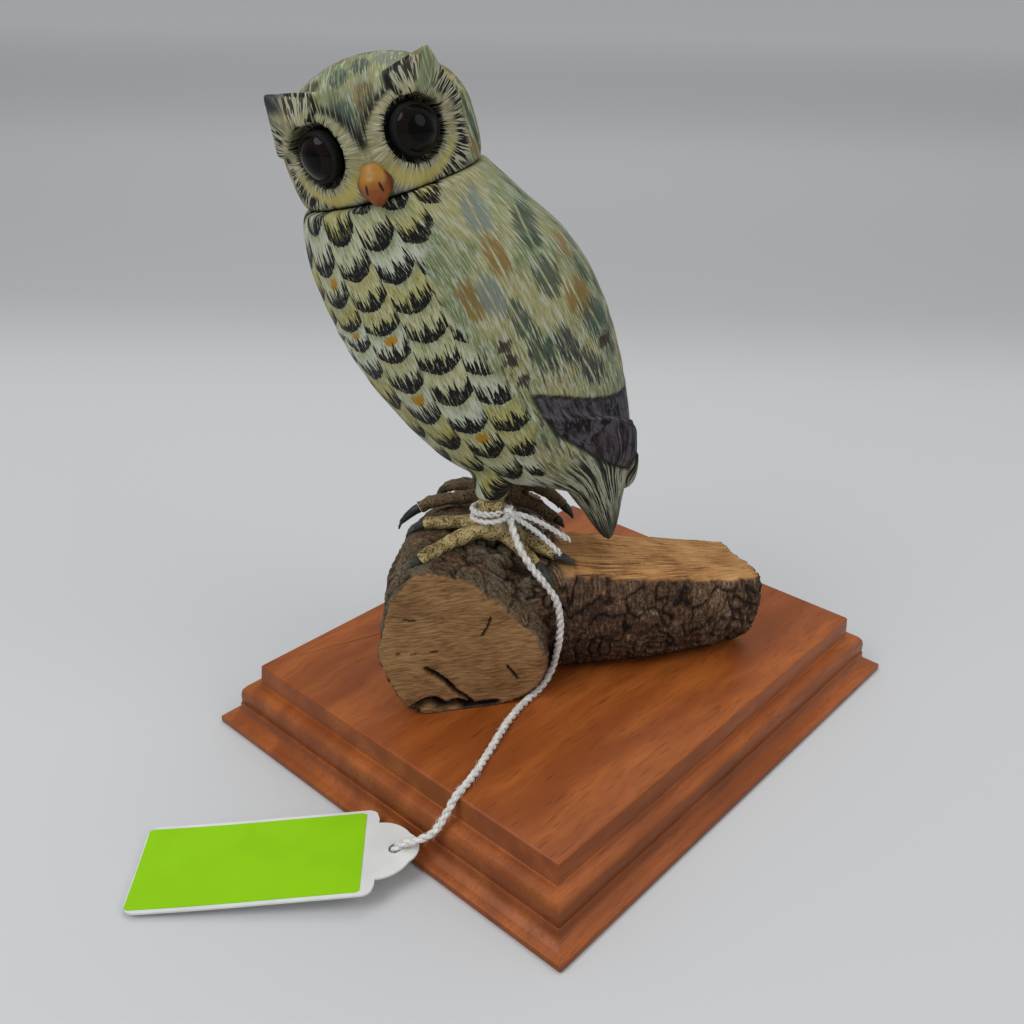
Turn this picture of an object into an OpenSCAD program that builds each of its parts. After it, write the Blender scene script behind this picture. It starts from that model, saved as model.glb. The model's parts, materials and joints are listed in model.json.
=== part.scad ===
// Carved and painted owl, perched on a forked piece of driftwood that stands on a moulded hardwood plinth.
// Frame: millimetres, +Z up, origin at the middle of the plinth's underside.
// The plinth's short front edge faces -Y. The owl's body faces the front left, its head looks front right.

/* [Plinth] */
// Width of the plinth over its lower moulding, across the front
plinth_w = 127; // [110:1:160]
// Length of the plinth over its lower moulding, front to back
plinth_l = 156; // [140:1:200]
// Thickness of the plinth
plinth_h = 19.5; // [16:0.5:25]
// How far the edge moulding steps in from the bottom edge to the top edge
moulding_w = 9.2; // [6:0.1:12]

/* [Driftwood] */
// Length of the trunk from its sawn face to its broken end
trunk_l = 66; // [55:1:80]
// Width of the trunk at the sawn face
trunk_w = 41; // [36:1:48]
// Height of the trunk above the plinth
trunk_h = 43; // [38:1:50]
// Length of the side limb along its middle line
limb_l = 84; // [74:1:96]
// Width of the side limb
limb_w = 29; // [24:1:34]
// Height of the limb's split top above the plinth, at the fork
limb_h = 36; // [30:1:40]

/* [Owl] */
// Height of the carved body from the perch to the neck joint
body_h = 88; // [73:1:106]
// Width of the body across the wings
body_w = 48; // [42:1:56]
// Width of the head across the ears' roots
head_w = 45; // [40:1:52]
// Depth of the head from face to nape
head_d = 42; // [36:1:48]
// Height of the head above the neck joint
head_h = 28.5; // [25:0.5:34]
// How far the head is turned to the owl's left
head_turn = 88; // [0:1:120]
// How far the neck leans forward
neck_lean = 17; // [8:1:24]

/* [Eyes and beak] */
// Diameter of a glass eye
eye_d = 10.5; // [8:0.1:12.6]
// Width of the putty rim around a glass eye
eye_rim = 1.7; // [1:0.1:2.2]
// Diameter of the wire stem behind a glass eye
stem_d = 1.2; // [0.8:0.1:1.6]
// Width of the beak
beak_w = 8.4; // [6:0.1:10]

/* [Feet] */
// Thickness of a toe
toe_d = 4.4; // [3.6:0.1:5.2]
// Thickness of a claw at its root
claw_d = 2.8; // [2:0.1:3.2]
// Thickness of a shank
shank_d = 6.6; // [5.5:0.1:8]
// Half of the distance between the two shanks
stance = 9.8; // [8:0.1:12]

/* [Fixings] */
// Diameter of the dowel that joins the head to the body
dowel_d = 8; // [6:0.5:10]
// Length of the neck dowel
dowel_l = 26; // [20:1:32]
// Diameter of the steel pin inside each leg
leg_pin_d = 3; // [2:0.1:3.5]
// Diameter of a wood screw's shank
screw_d = 4; // [3.5:0.1:5]
// Length of a wood screw
screw_l = 38; // [30:1:44]
// Gap all round a pin, dowel or screw in its bore
bore_gap = 0.05; // [0.02:0.01:0.2]

/* [Price tag] */
// Length of the card tag, over its scalloped end
tag_l = 68; // [60:1:76]
// Width of the card tag
tag_w = 27.5; // [22:0.5:32]
// Thickness of the card
tag_t = 0.5; // [0.4:0.1:0.8]
// Thickness of the twisted cotton string
string_d = 2; // [1.6:0.1:2.4]

/* [Hidden] */
$fn = 48;
tiny = 0.01;

// ---- curves and skins -------------------------------------------------------------------------

// The item at i in list p, held at the first and the last item
function held(p, i) = p[max(0, min(len(p) - 1, i))];
// The item at i in the closed list p
function looped(p, i) = p[(i + len(p)) % len(p)];
// A smooth curve from b to c, with a and d as the points beside them
function ease(a, b, c, d, f) =
    b + 0.5 * f * ((c - a) + f * (2 * a - 5 * b + 4 * c - d + f * (3 * (b - c) + d - a)));
// The point at t on an open smooth curve through p, with t from 0 to len(p) - 1
function open_curve(p, t) =
    let (i = min(floor(t), len(p) - 2))
    ease(held(p, i - 1), held(p, i), held(p, i + 1), held(p, i + 2), t - i);
// The point at t on a closed smooth curve through p, with t from 0 to len(p)
function closed_curve(p, t) =
    let (i = floor(t) % len(p))
    ease(looped(p, i - 1), looped(p, i), looped(p, i + 1), looped(p, i + 2), t - floor(t));
// One vector turned to length 1
function unit(v) = v / norm(v);
// The triangles of a skin over rings of n points each, closed by a flat cap at both ends
function skin_faces(rings, n) = concat(
    [[for (j = [n - 1:-1:0]) j]],
    [for (i = [0:rings - 2], j = [0:n - 1])
        [i * n + j, i * n + (j + 1) % n, (i + 1) * n + (j + 1) % n]],
    [for (i = [0:rings - 2], j = [0:n - 1])
        [i * n + j, (i + 1) * n + (j + 1) % n, (i + 1) * n + j]],
    [[for (j = [0:n - 1]) (rings - 1) * n + j]]);

// A closed skin over a list of rings, each a list of the same number of points.
// A ring runs anticlockwise as seen from the last ring.
module skin(rings) {
    n = len(rings[0]);
    polyhedron(points = [for (r = rings) each r],
        faces = [for (f = skin_faces(len(rings), n)) [for (k = [len(f) - 1:-1:0]) f[k]]]);
}

// The direction of travel at point i of a path
function heading(path, i) = unit(held(path, i + 1) - held(path, i - 1));
// One ring of a tube: n points around the path at point i
function tube_ring(path, i, r, n) =
    let (z = heading(path, i),
        x = unit(cross(abs(z[2]) > 0.9 ? [1, 0, 0] : [0, 0, 1], z)),
        y = cross(z, x))
    [for (j = [0:n - 1]) path[i] + r * (cos(360 * j / n) * x + sin(360 * j / n) * y)];

// A tube along a path, its radius running through the list radii
module tube(path, radii, n) {
    last = len(path) - 1;
    skin([for (i = [0:last]) tube_ring(path, i, open_curve(radii, i * (len(radii) - 1) / last), n)]);
}

// ---- plinth -----------------------------------------------------------------------------------

// The moulding from top to bottom, as [share of moulding_w outwards, share of plinth_h upwards]
plinth_profile = concat(
    [[-0.04, 1], [0.01, 0.97], [0.05, 0.68], [0.13, 0.665]],
    [for (a = [75:-25:0]) [0.13 + 0.38 * cos(a), 0.49 + 0.175 * sin(a)]],
    [[0.51, 0.36], [0.48, 0.335]],
    [for (a = [170:25:260]) [0.97 + 0.44 * cos(a), 0.315 + 0.195 * sin(a)]],
    [[0.99, 0.105], [1, 0.08], [1, 0.02], [0.97, 0]]);
screw_head_d = 2.1 * screw_d;
screw_head_h = 2.6;
screw_sink = 1;
screw_tip = 3;
screw_slot = [4, 1, 1.6];
// Where the two screws stand along the trunk, as shares of its length
screw_at = [0.34, 0.8];

module plinth() {
    color("peru")
    difference() {
        skin([for (k = [len(plinth_profile) - 1:-1:0])
            let (p = plinth_profile[k],
                x = plinth_w / 2 - moulding_w * (1 - p[0]),
                y = plinth_l / 2 - moulding_w * (1 - p[0]),
                z = plinth_h * p[1])
            [[x, y, z], [-x, y, z], [-x, -y, z], [x, -y, z]]]);
        screw_places() {
            translate([0, 0, -tiny]) cylinder(d = screw_d + 2 * bore_gap, h = plinth_h + 1);
            translate([0, 0, -tiny]) cylinder(d = screw_head_d + 2 * bore_gap, h = screw_sink + tiny);
            translate([0, 0, screw_sink]) cylinder(d1 = screw_head_d + 2 * bore_gap,
                d2 = screw_d + 2 * bore_gap, h = screw_head_h);
        }
    }
}

module screw_places() {
    for (s = screw_at)
        translate([trunk_x, trunk_y, 0]) rotate([0, 0, trunk_turn]) translate([0, s * trunk_l, 0])
            children();
}

module log_screws() {
    color("darkkhaki")
    screw_places() {
        difference() {
            union() {
                translate([0, 0, screw_sink]) cylinder(d1 = screw_head_d, d2 = screw_d,
                    h = screw_head_h);
                translate([0, 0, screw_sink + screw_head_h])
                    cylinder(d = screw_d, h = screw_l - screw_head_h - screw_tip);
                translate([0, 0, screw_sink + screw_l - screw_tip])
                    cylinder(d1 = screw_d, d2 = 0.15 * screw_d, h = screw_tip);
            }
            for (a = [0, 90])
                rotate([0, 0, a])
                    translate([-screw_slot[0] / 2, -screw_slot[1] / 2, screw_sink - tiny]) cube(screw_slot);
        }
    }
}

// ---- driftwood --------------------------------------------------------------------------------

// Where the trunk's middle line starts, and its turn about Z
trunk_x = -0.3;
trunk_y = -46;
trunk_turn = 32.7;
// How far the sawn face slants back across the trunk
saw_slant = 0.41;
log_sides = 40;
trunk_rings = 22;
limb_rings = 15;
// Outlines of the trunk as [share of half the width, share of the height]
trunk_face = [[-0.89, 0.53], [-0.83, 0.36], [-0.73, 0.2], [-0.45, 0], [0.05, 0], [0.6, 0],
    [0.97, 0.1], [1.1, 0.25], [0.96, 0.48], [0.66, 0.64], [0.42, 0.76], [0.2, 0.88],
    [-0.07, 0.97], [-0.4, 0.99], [-0.65, 0.88], [-0.8, 0.74]];
trunk_mid = [[-1.05, 0.56], [-0.99, 0.34], [-0.8, 0.13], [-0.5, 0], [0.05, 0], [0.55, 0],
    [0.93, 0.12], [1.08, 0.3], [1.04, 0.54], [0.86, 0.74], [0.6, 0.88], [0.3, 0.96],
    [-0.05, 0.985], [-0.45, 0.985], [-0.82, 0.92], [-1.02, 0.76]];
trunk_end = [[-0.88, 0.46], [-0.83, 0.28], [-0.66, 0.11], [-0.4, 0], [0, 0], [0.45, 0],
    [0.8, 0.1], [0.92, 0.28], [0.9, 0.5], [0.74, 0.66], [0.5, 0.78], [0.24, 0.84],
    [-0.06, 0.86], [-0.38, 0.84], [-0.64, 0.76], [-0.8, 0.63]];
limb_outline = [[-0.62, 0], [-0.15, 0], [0.32, 0], [0.72, 0.16], [0.97, 0.45], [1, 0.78],
    [0.86, 0.96], [0.45, 1], [0, 0.98], [-0.5, 1], [-0.86, 0.95], [-1, 0.74], [-0.95, 0.42],
    [-0.82, 0.14]];
// The limb's middle line from inside the trunk to its end, and its height there as a share of limb_h
limb_drawn_l = 84;
limb_line = [[-13, -28], [-6, -19], [2.5, -8], [10, 1.5], [17, 12], [23.5, 23], [28, 32], [31, 38.5]];
limb_fall = [1, 1, 0.98, 0.93, 0.87, 0.8, 0.74, 0.7];
limb_girth = [0.7, 0.9, 1, 1, 1, 1, 0.97, 0.86];

// A shallow ripple in the bark, the same each time
function ripple(a, s) = 1 + 0.016 * sin(5 * a + 3.1 * s) + 0.012 * sin(9 * a - 7.3 * s);
function weight(s, at, reach) = max(0, 1 - abs(s - at) / reach);

function trunk_ring(k) =
    let (f = k / (trunk_rings - 1), y = f * trunk_l,
        wf = max(0, 1 - f / 0.3), we = max(0, (f - 0.45) / 0.55), wm = 1 - wf - we)
    [for (j = [0:log_sides - 1])
        let (t = j * len(trunk_face) / log_sides,
            p = wf * closed_curve(trunk_face, t) + wm * closed_curve(trunk_mid, t)
                + we * closed_curve(trunk_end, t),
            g = p[1] < 0.05 ? 1 : ripple(360 * j / log_sides, y),
            x = p[0] * g * trunk_w / 2)
        [x, y + x * saw_slant * max(0, 1 - f / 0.5), max(0, (p[1] - 0.4) * g + 0.4) * trunk_h]];

function limb_ring(k) =
    let (n = len(limb_line) - 1, t = k * n / (limb_rings - 1), s = limb_l / limb_drawn_l,
        q = limb_line[2],
        c = q + (open_curve(limb_line, t) - q) * s,
        d = unit(open_curve(limb_line, min(n, t + 0.1)) - open_curve(limb_line, max(0, t - 0.1))),
        h = open_curve(limb_fall, t) * limb_h, w = open_curve(limb_girth, t) * limb_w / 2)
    [for (j = [0:log_sides - 1])
        let (p = closed_curve(limb_outline, j * len(limb_outline) / log_sides),
            g = p[1] < 0.05 || p[1] > 0.93 ? 1 : ripple(360 * j / log_sides, 4 * k))
        [c[0] + d[1] * p[0] * w * g, c[1] - d[0] * p[0] * w * g, max(0, p[1]) * h]];

module driftwood_log() {
    color("rosybrown")
    difference() {
        translate([0, 0, plinth_h]) union() {
            translate([trunk_x, trunk_y, 0]) rotate([0, 0, trunk_turn])
                skin([for (k = [trunk_rings - 1:-1:0]) trunk_ring(k)]);
            skin([for (k = [limb_rings - 1:-1:0]) limb_ring(k)]);
        }
        screw_places() translate([0, 0, plinth_h - tiny])
            cylinder(d = screw_d + 2 * bore_gap, h = screw_sink + screw_l - plinth_h + 1);
        for (side = [1, -1]) leg_bore(side);
    }
}

// ---- owl: body --------------------------------------------------------------------------------

// The owl's own frame: it faces -Y, its left is +X, and z = 0 is the top of the perch
perch_x = -11.8;
perch_y = -17.5;
perch_turn = -48;
perch_z = plinth_h + trunk_h - 0.5;
// The size of the body's outlines, which are drawn for a body 88 high
body_k = body_h / 88;
neck_y = -25.4;
neck_half = 22;
body_sides = 40;
body_rings = 34;
// Cross-sections from the neck to the tail's tip, as [front y, front z, back y, back z, half width]
body_cuts = [[-47, 77.5, 5, 86, 0.9], [-46.6, 72.5, 14.2, 78.5, 0.95], [-45.2, 66, 20.2, 71, 0.98],
    [-42.6, 59, 25, 62, 1], [-39.2, 51, 28.6, 52, 1], [-34.6, 43, 31, 43, 0.97],
    [-28.8, 35, 32.6, 35, 0.91], [-22, 27, 33.6, 29, 0.83], [-15, 20.4, 34, 24.5, 0.73],
    [-8, 16.6, 34, 20.5, 0.64], [-1, 15.5, 33.6, 16.5, 0.56], [5, 15.4, 33.4, 13, 0.5],
    [10.5, 15.3, 33.2, 10, 0.45], [15.2, 12.8, 32.8, 7, 0.4], [19.6, 7.6, 32.4, 3.6, 0.33],
    [24.2, 1, 32, -0.6, 0.24], [28, -4.4, 30.8, -5, 0.12]];
neck_cut = [neck_y - neck_half * cos(neck_lean), body_h / body_k - 0.3 - neck_half * sin(neck_lean),
    neck_y + neck_half * cos(neck_lean), body_h / body_k - 0.3 + neck_half * sin(neck_lean), 0.84];

module owl_place() {
    translate([perch_x, perch_y, perch_z]) rotate([0, 0, perch_turn]) children();
}

// One ring of the body between a front and a back point, blunt by the power p
function cut_ring(c, p) =
    let (front = [0, c[0], c[1]], back = [0, c[2], c[3]], mid = (front + back) / 2,
        d = (back - front) / 2)
    [for (j = [0:body_sides - 1])
        let (a = 360 * j / body_sides, x = sin(a), y = -cos(a),
            r = pow(pow(abs(x), p) + pow(abs(y), p), -1 / p))
        body_k * mid + body_k * r * y * d + [r * x * c[4] * body_w / 2, 0, 0]];

module owl_body() {
    cuts = concat([neck_cut], body_cuts);
    color("palegoldenrod")
    owl_place()
    difference() {
        union() {
            skin([for (k = [body_rings - 1:-1:0])
                cut_ring(open_curve(cuts, k * (len(cuts) - 1) / (body_rings - 1)), 2.25)]);
            for (side = [1, -1]) thigh(side);
            for (side = [1, -1]) primaries(side);
        }
        neck_place() translate([0, 0, -dowel_l / 2]) cylinder(d = dowel_d + 2 * bore_gap, h = dowel_l);
        for (side = [1, -1]) leg_bore_local(side);
    }
}

// The feathered thigh that each shank comes out of
module thigh(side) {
    hull() {
        translate([side * stance, foot_y(side), shank_top]) cylinder(d = shank_d + 1.2, h = 2, $fn = 28);
        translate([side * (stance - 2), foot_y(side) + 1, shank_top + 12]) sphere(d = shank_d + 8, $fn = 28);
    }
}

// The dark folded flight feathers at the end of each wing, proud of the body and past the tail's root.
// Each point is [y, z, distance of the outer face from the middle as a share of half the width].
primary_edge = [[7, 38.5, 0.93], [14, 28.5, 0.8], [21, 22.5, 0.62], [28.5, 15.5, 0.36], [33, 12.6, 0.24],
    [35.2, 15, 0.24], [35.6, 20, 0.36], [35, 27, 0.5], [32.5, 36, 0.66], [21, 38.5, 0.86]];
module primaries(side) {
    n = len(primary_edge) * 3;
    mirror([side > 0 ? 0 : 1, 0, 0])
        skin([for (depth = [2.6, 0.6, 0])
            [for (j = [0:n - 1])
                let (p = closed_curve(primary_edge, j / 3), in = 1 - 0.04 * (depth == 0 ? 1 : 0),
                    m = [24.5, 25.5])
                [p[2] * body_w / 2 + 1.2 - depth,
                    body_k * (m[0] + (p[0] - m[0]) * in),
                    body_k * (m[1] + (p[1] - m[1]) * in)]]]);
}

// ---- owl: head --------------------------------------------------------------------------------

// The neck joint's frame: z = 0 is the flat that the head sits on
module neck_place() {
    translate([0, body_k * neck_y, body_h - 0.3 * body_k]) rotate([neck_lean, 0, 0]) children();
}

module head_place() {
    owl_place() neck_place() rotate([0, 0, head_turn]) children();
}

head_sides = 48;
head_rings = 20;
disc_turn = 35;
disc_out = 0.94 * head_d / 2;
eye_z = 0.42 * head_h;
// The head from the joint upwards, as [height, half width, front, back], in shares of its sizes
head_cuts = [[0, 0.92, 0.9, 0.94], [0.05, 0.96, 0.94, 0.97], [0.16, 0.99, 0.98, 1], [0.32, 1, 1.02, 1],
    [0.5, 0.99, 1.01, 0.99], [0.66, 0.91, 0.92, 0.93], [0.8, 0.76, 0.77, 0.8], [0.91, 0.54, 0.56, 0.6],
    [0.975, 0.3, 0.3, 0.34], [1, 0.1, 0.1, 0.12]];

// Distance from the middle at angle a from the face, with the two flat eye discs worked in
function head_radius(c, a) =
    let (x = sin(a), y = cos(a), hw = c[1] * head_w / 2, hd = (y > 0 ? c[2] : c[3]) * head_d / 2,
        r = 1 / sqrt(x * x / (hw * hw) + y * y / (hd * hd)),
        off = abs(a > 180 ? a - 360 : a) - disc_turn,
        flat = disc_out / cos(min(60, abs(off))))
    abs(off) > 59 ? r : pow(pow(r, -14) + pow(flat, -14), -1 / 14);

function head_ring(c) = [for (j = [0:head_sides - 1])
    let (a = 360 * j / head_sides, r = head_radius(c, a))
    [r * sin(a), -r * cos(a), c[0] * head_h]];

module head_shape() {
    skin([for (k = [0:head_rings - 1])
        head_ring(open_curve(head_cuts, k * (len(head_cuts) - 1) / (head_rings - 1)))]);
}

// An ear tuft, the pointed upper corner of a face disc
module ear_tuft(side) {
    hull() {
        translate([side * 0.8 * head_w / 2, -0.66 * head_d / 2, 0.925 * head_h]) sphere(r = 0.8, $fn = 16);
        translate([side * 0.36 * head_w / 2, -0.66 * head_d / 2, 0.82 * head_h]) sphere(r = 1.5, $fn = 16);
        translate([side * 0.9 * head_w / 2, -0.4 * head_d / 2, 0.5 * head_h]) sphere(r = 1.5, $fn = 16);
        translate([side * 0.55 * head_w / 2, -0.75 * head_d / 2, 0.6 * head_h]) sphere(r = 2, $fn = 16);
    }
}

module owl_head() {
    color("beige")
    head_place()
    difference() {
        union() {
            head_shape();
            for (side = [1, -1]) ear_tuft(side);
        }
        translate([0, 0, -tiny]) cylinder(d = dowel_d + 2 * bore_gap, h = dowel_l / 2 + tiny);
        for (side = [1, -1]) eye_place(side) {
            translate([0, 0, -eye_seat]) cylinder(d = eye_d + 2 * eye_rim, h = 12);
            translate([0, 0, -eye_seat - stem_l]) cylinder(d = stem_d + 2 * bore_gap, h = stem_l + 1);
        }
        beak_place() translate([0, 0, -beak_peg_l]) cylinder(d = beak_peg_d, h = beak_peg_l + 1.5);
    }
}

module neck_dowel() {
    color("burlywood")
    owl_place() neck_place() translate([0, 0, -dowel_l / 2 + bore_gap])
        cylinder(d = dowel_d, h = dowel_l - 2 * bore_gap);
}

// ---- owl: eyes and beak -----------------------------------------------------------------------

eye_seat = 3;
stem_l = 7;
eye_dome = 2.6;
// An eye's frame: z = 0 is the face disc, +Z looks outwards
module eye_place(side) {
    translate([0, 0, eye_z]) rotate([0, 0, side * disc_turn]) translate([0, -disc_out, 0])
        rotate([90, 0, 0]) children();
}

module glass_eye(side) {
    r = eye_d / 2;
    dome_r = (r * r + eye_dome * eye_dome) / (2 * eye_dome);
    color("black")
    head_place() eye_place(side) {
        intersection() {
            translate([0, 0, eye_dome - dome_r - 0.4]) sphere(r = dome_r, $fn = 64);
            translate([0, 0, -eye_seat + 0.6]) cylinder(r = r, h = 8);
        }
        translate([0, 0, -eye_seat + 0.6]) cylinder(r = r, h = eye_seat - 1);
    }
}
module left_eye() { glass_eye(1); }
module right_eye() { glass_eye(-1); }

// The ring of black putty that beds the glass and makes the lid
module putty_rim(side) {
    r = eye_d / 2;
    color("dimgray")
    head_place() eye_place(side) rotate_extrude()
        polygon([[stem_d / 2 + bore_gap, -eye_seat], [r + eye_rim, -eye_seat], [r + eye_rim, 0.1],
            [r + 0.8 * eye_rim, 0.5], [r + 0.3 * eye_rim, 0.8], [r, 0.6], [r, -eye_seat + 0.6],
            [stem_d / 2 + bore_gap, -eye_seat + 0.6]]);
}
module left_eye_rim() { putty_rim(1); }
module right_eye_rim() { putty_rim(-1); }

module eye_stem(side) {
    color("silver")
    head_place() eye_place(side) translate([0, 0, -eye_seat - stem_l + 0.5])
        cylinder(d = stem_d, h = stem_l + 0.1);
}
module left_eye_stem() { eye_stem(1); }
module right_eye_stem() { eye_stem(-1); }

beak_peg_l = 7;
beak_peg_d = 3.6;
beak_z = 0.14 * head_h;
// The beak's frame: z = 0 is the front of the face, +Z looks forwards, +Y is up
module beak_place() {
    translate([0, -head_d / 2, beak_z]) rotate([90, 0, 0]) children();
}

module beak() {
    w = beak_w / 2;
    color("chocolate")
    head_place() {
        difference() {
            beak_place() hull() {
                translate([0, 0.75 * w, -0.6]) sphere(r = 0.66 * w, $fn = 20);
                translate([0, 0, -0.4]) sphere(r = w, $fn = 24);
                translate([0, -0.85 * w, 1.2]) sphere(r = 0.45 * w, $fn = 20);
            }
            head_shape();
        }
        beak_place() translate([0, 0, -beak_peg_l + 0.2]) cylinder(d = beak_peg_d - 2 * bore_gap, h = beak_peg_l);
    }
}

// ---- owl: legs and feet -----------------------------------------------------------------------

shank_top = 11.5;
pin_up = 15;
pin_down = 18;
// The left shank stands a little further forward than the right one
function foot_y(side) = side > 0 ? -2 : 2.2;

module leg_bore_local(side) {
    translate([side * stance, foot_y(side), -pin_down]) cylinder(d = leg_pin_d + 2 * bore_gap,
        h = pin_down + shank_top + pin_up);
}
module leg_bore(side) { owl_place() leg_bore_local(side); }

module leg_pin(side) {
    color("silver")
    owl_place() translate([side * stance, foot_y(side), -pin_down + bore_gap])
        cylinder(d = leg_pin_d, h = pin_down + shank_top + pin_up - 2 * bore_gap);
}
module left_leg_pin() { leg_pin(1); }
module right_leg_pin() { leg_pin(-1); }

// Each digit's middle line over the bark, as [number of the point where the claw starts, points],
// in the owl's frame, drawn for a trunk 41 wide and 43 high and for shanks 9.8 either side.
left_digits = [
    [4, [[10, -2, 3], [14, -9, 2.2], [19, -14, 2], [22.5, -18, 1.2], [23.8, -19.4, 0.4],
        [23.4, -21, -1.2], [21.5, -23, -4], [20, -24.3, -7.2]]],
    [4, [[9.5, -2, 3], [7.2, -6.5, 2.6], [7, -12, 2.5], [7, -17, 2.2], [7, -19.4, 1.7],
        [6, -21.6, 0.4], [3.8, -23.6, -2], [2, -25, -5]]],
    [4, [[10, -2, 3], [10.2, 1, 1], [11, 4, -1], [12.6, 7.5, -4], [15.4, 10.4, -5.4],
        [16.4, 12, -7], [17.6, 13.8, -9], [18.2, 15, -12]]],
    [3, [[9.5, -2, 3], [7, 3.2, 0.4], [7.2, 9, -3.2], [10.8, 15.4, -4.9],
        [11.6, 17.2, -5.2], [11.8, 19, -6], [11.8, 20.4, -7.4]]]];
right_digits = [
    [3, [[-10, 2, 3.6], [-13, -4, 3.6], [-15.6, -10.5, 2.8], [-17, -15, 0.8],
        [-17.5, -17, -1.4], [-17.6, -18.4, -4]]],
    [4, [[-9.6, 2, 3.6], [-7.6, -5, 3.2], [-6.6, -12.5, 2.7], [-6.4, -18.8, 1.4], [-5.6, -22, 0],
        [-5.1, -24.2, -1.4], [-5.3, -26.8, -4.2], [-6, -27.8, -7]]],
    [4, [[-10, 2, 4.6], [-11.6, 5.5, 5.2], [-12.6, 10, 4], [-13.5, 14.5, 1], [-14, 18, -2.6],
        [-13.6, 20, -4.6], [-12.6, 21, -6.2]]],
    [4, [[-9.8, 2, 3], [-10, 5, 1.2], [-10.4, 8.4, 0], [-10.4, 12.6, -2.6], [-10, 15.8, -4.8],
        [-9.8, 17.3, -6], [-9.5, 18.4, -7.6]]]];
function digits(side) = side > 0 ? left_digits : right_digits;
drawn_trunk_w = 41;
drawn_trunk_h = 43;
drawn_stance = 9.8;
digit_sides = 10;
// Rings to each stretch between two points of a digit
digit_steps = 2;

// Point p of a digit, stretched about the shank with the trunk's own size and the stance
function on_perch(side, p) =
    let (foot = [side * drawn_stance, foot_y(side), 0],
        k = [trunk_w / drawn_trunk_w, trunk_w / drawn_trunk_w, trunk_h / drawn_trunk_h])
    [for (i = [0:2]) (p - foot)[i] * k[i]] + [side * stance, foot_y(side), 0];
function digit_path(side, d) =
    let (points = [for (p = d[1]) on_perch(side, p)])
    [for (i = [0:digit_steps * (len(points) - 1)]) open_curve(points, i / digit_steps)];
// The radius of a toe at share f of its length, a little thicker at its three joints
function toe_radius(f) = toe_d / 2 * (1.06 - 0.2 * f) * (1 + 0.04 * cos(360 * 3 * f));
function claw_radius(f) = max(0.3, claw_d / 2 * (1 - f * f));

module toes(side) {
    for (d = digits(side)) {
        path = digit_path(side, d);
        m = digit_steps * d[0];
        skin([for (i = [0:m]) tube_ring(path, i, toe_radius(i / m), digit_sides)]);
    }
}

module claws(side) {
    for (d = digits(side)) {
        path = digit_path(side, d);
        m = digit_steps * d[0];
        last = len(path) - 1;
        skin([for (i = [m:last]) tube_ring(path, i, claw_radius((i - m) / (last - m)), digit_sides)]);
    }
}

// A putty foot: the pad, the shank up to the thigh, and four toes
module foot(side) {
    owl_place() difference() {
        union() {
            toes(side);
            translate([side * stance, foot_y(side), 3.2]) sphere(d = shank_d + 1.8, $fn = 32);
            translate([side * stance, foot_y(side), 3]) cylinder(d1 = shank_d + 1.4, d2 = shank_d,
                h = shank_top - 3);
        }
        leg_bore_local(side);
    }
}
module left_foot() { color("khaki") foot(1); }
module right_foot() { color("tan") foot(-1); }
module left_claws() { color("darkslategray") owl_place() claws(1); }
module right_claws() { color("darkslategray") owl_place() claws(-1); }

// ---- price tag --------------------------------------------------------------------------------

// The string's route from the knot to the tag: past a claw, down to the plinth, off its edge and
// through the hole in the card.
string_route = [[-1.5, -24.5, 68.3], [0, -25, 66], [3.4, -25.8, 61.8], [6.6, -25, 57.5],
    [8.8, -23, 53.5], [10.9, -21.4, 50], [12.1, -20.2, 46], [12.7, -19.6, 41], [12.5, -19.4, 35.5],
    [11.5, -19.2, 30], [10.8, -19.7, 25.5], [10.5, -22, 22], [10.7, -26, 20.6], [11.2, -31, 20.5],
    [12.2, -36, 20.5], [14, -42, 20.5], [16.5, -48.5, 20.5], [19, -55, 20.5], [21.2, -61, 20.5],
    [22.6, -66, 20.6], [23, -69.5, 19.8], [22.9, -72, 17.2], [22.3, -74.3, 13.8], [21, -76.4, 11.2],
    [19.4, -78.2, 10], [17.8, -79.5, 9.2], [16.1, -80.8, 8.3], [14.95, -81.6, 7], [14.55, -81.95, 6]];
string_rings = 76;
// The plinth that the route is drawn for, and how high the stopper knot holds the hole in the card
drawn_plinth_l = 156;
drawn_plinth_h = 19.5;
hole_z = 6.2;
// The route lies on the plinth between these two distances from its middle
lies_from = 31;
lies_to = 69.5;
// A point of the route moved with the plinth's front edge, the plinth's top and the log's top
function routed(p) =
    let (over = min(1, max(0, (-lies_from - p[1]) / (lies_to - lies_from))),
        drop = min(1, (p[2] - hole_z) / (drawn_plinth_h + 1 - hole_z)),
        climb = min(1, max(0, (p[2] - drawn_plinth_h - 1) / (drawn_trunk_h - 2))))
    [p[0], p[1] - over * (plinth_l - drawn_plinth_l) / 2,
        p[2] + drop * (plinth_h - drawn_plinth_h) + climb * (trunk_h - drawn_trunk_h)];
// Where the hole in the card sits on the string, the tag's turn about Z, and how high its far end lies
hole_at = [14.7, -81.8 - (plinth_l - drawn_plinth_l) / 2, hole_z];
tag_turn = 44.8;
tag_rest = 0.15;
tag_body = 0.85 * tag_l;
tag_corner = 3;
// From the card's far end to its hole, and the slope that lays the far end on the ground
tag_hole = 0.914 * tag_l;
tag_slope = asin((hole_at[2] - tag_rest) / tag_hole);
hole_d = string_d + 1.2;
label_t = 0.15;
label_margin = 1;
// Bare card between the label and the scalloped end
label_gap = 3.2;

module tag_string() {
    route = [for (p = string_route) routed(p)];
    path = [for (i = [0:string_rings]) open_curve(route, i * (len(route) - 1) / string_rings)];
    color("white") tube(path, [string_d / 2, string_d / 2], 8);
}

// The same string, wound twice round the left shank, its knot, and its two loose tails
wrap_turns = 1.9;
wrap_z = 6.9;
wrap_steps = 34;
// The string's middle line stands off the shank by half of its own thickness and the shank's taper
wrap_r = shank_d / 2 + 0.4 + string_d / 2;
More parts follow.
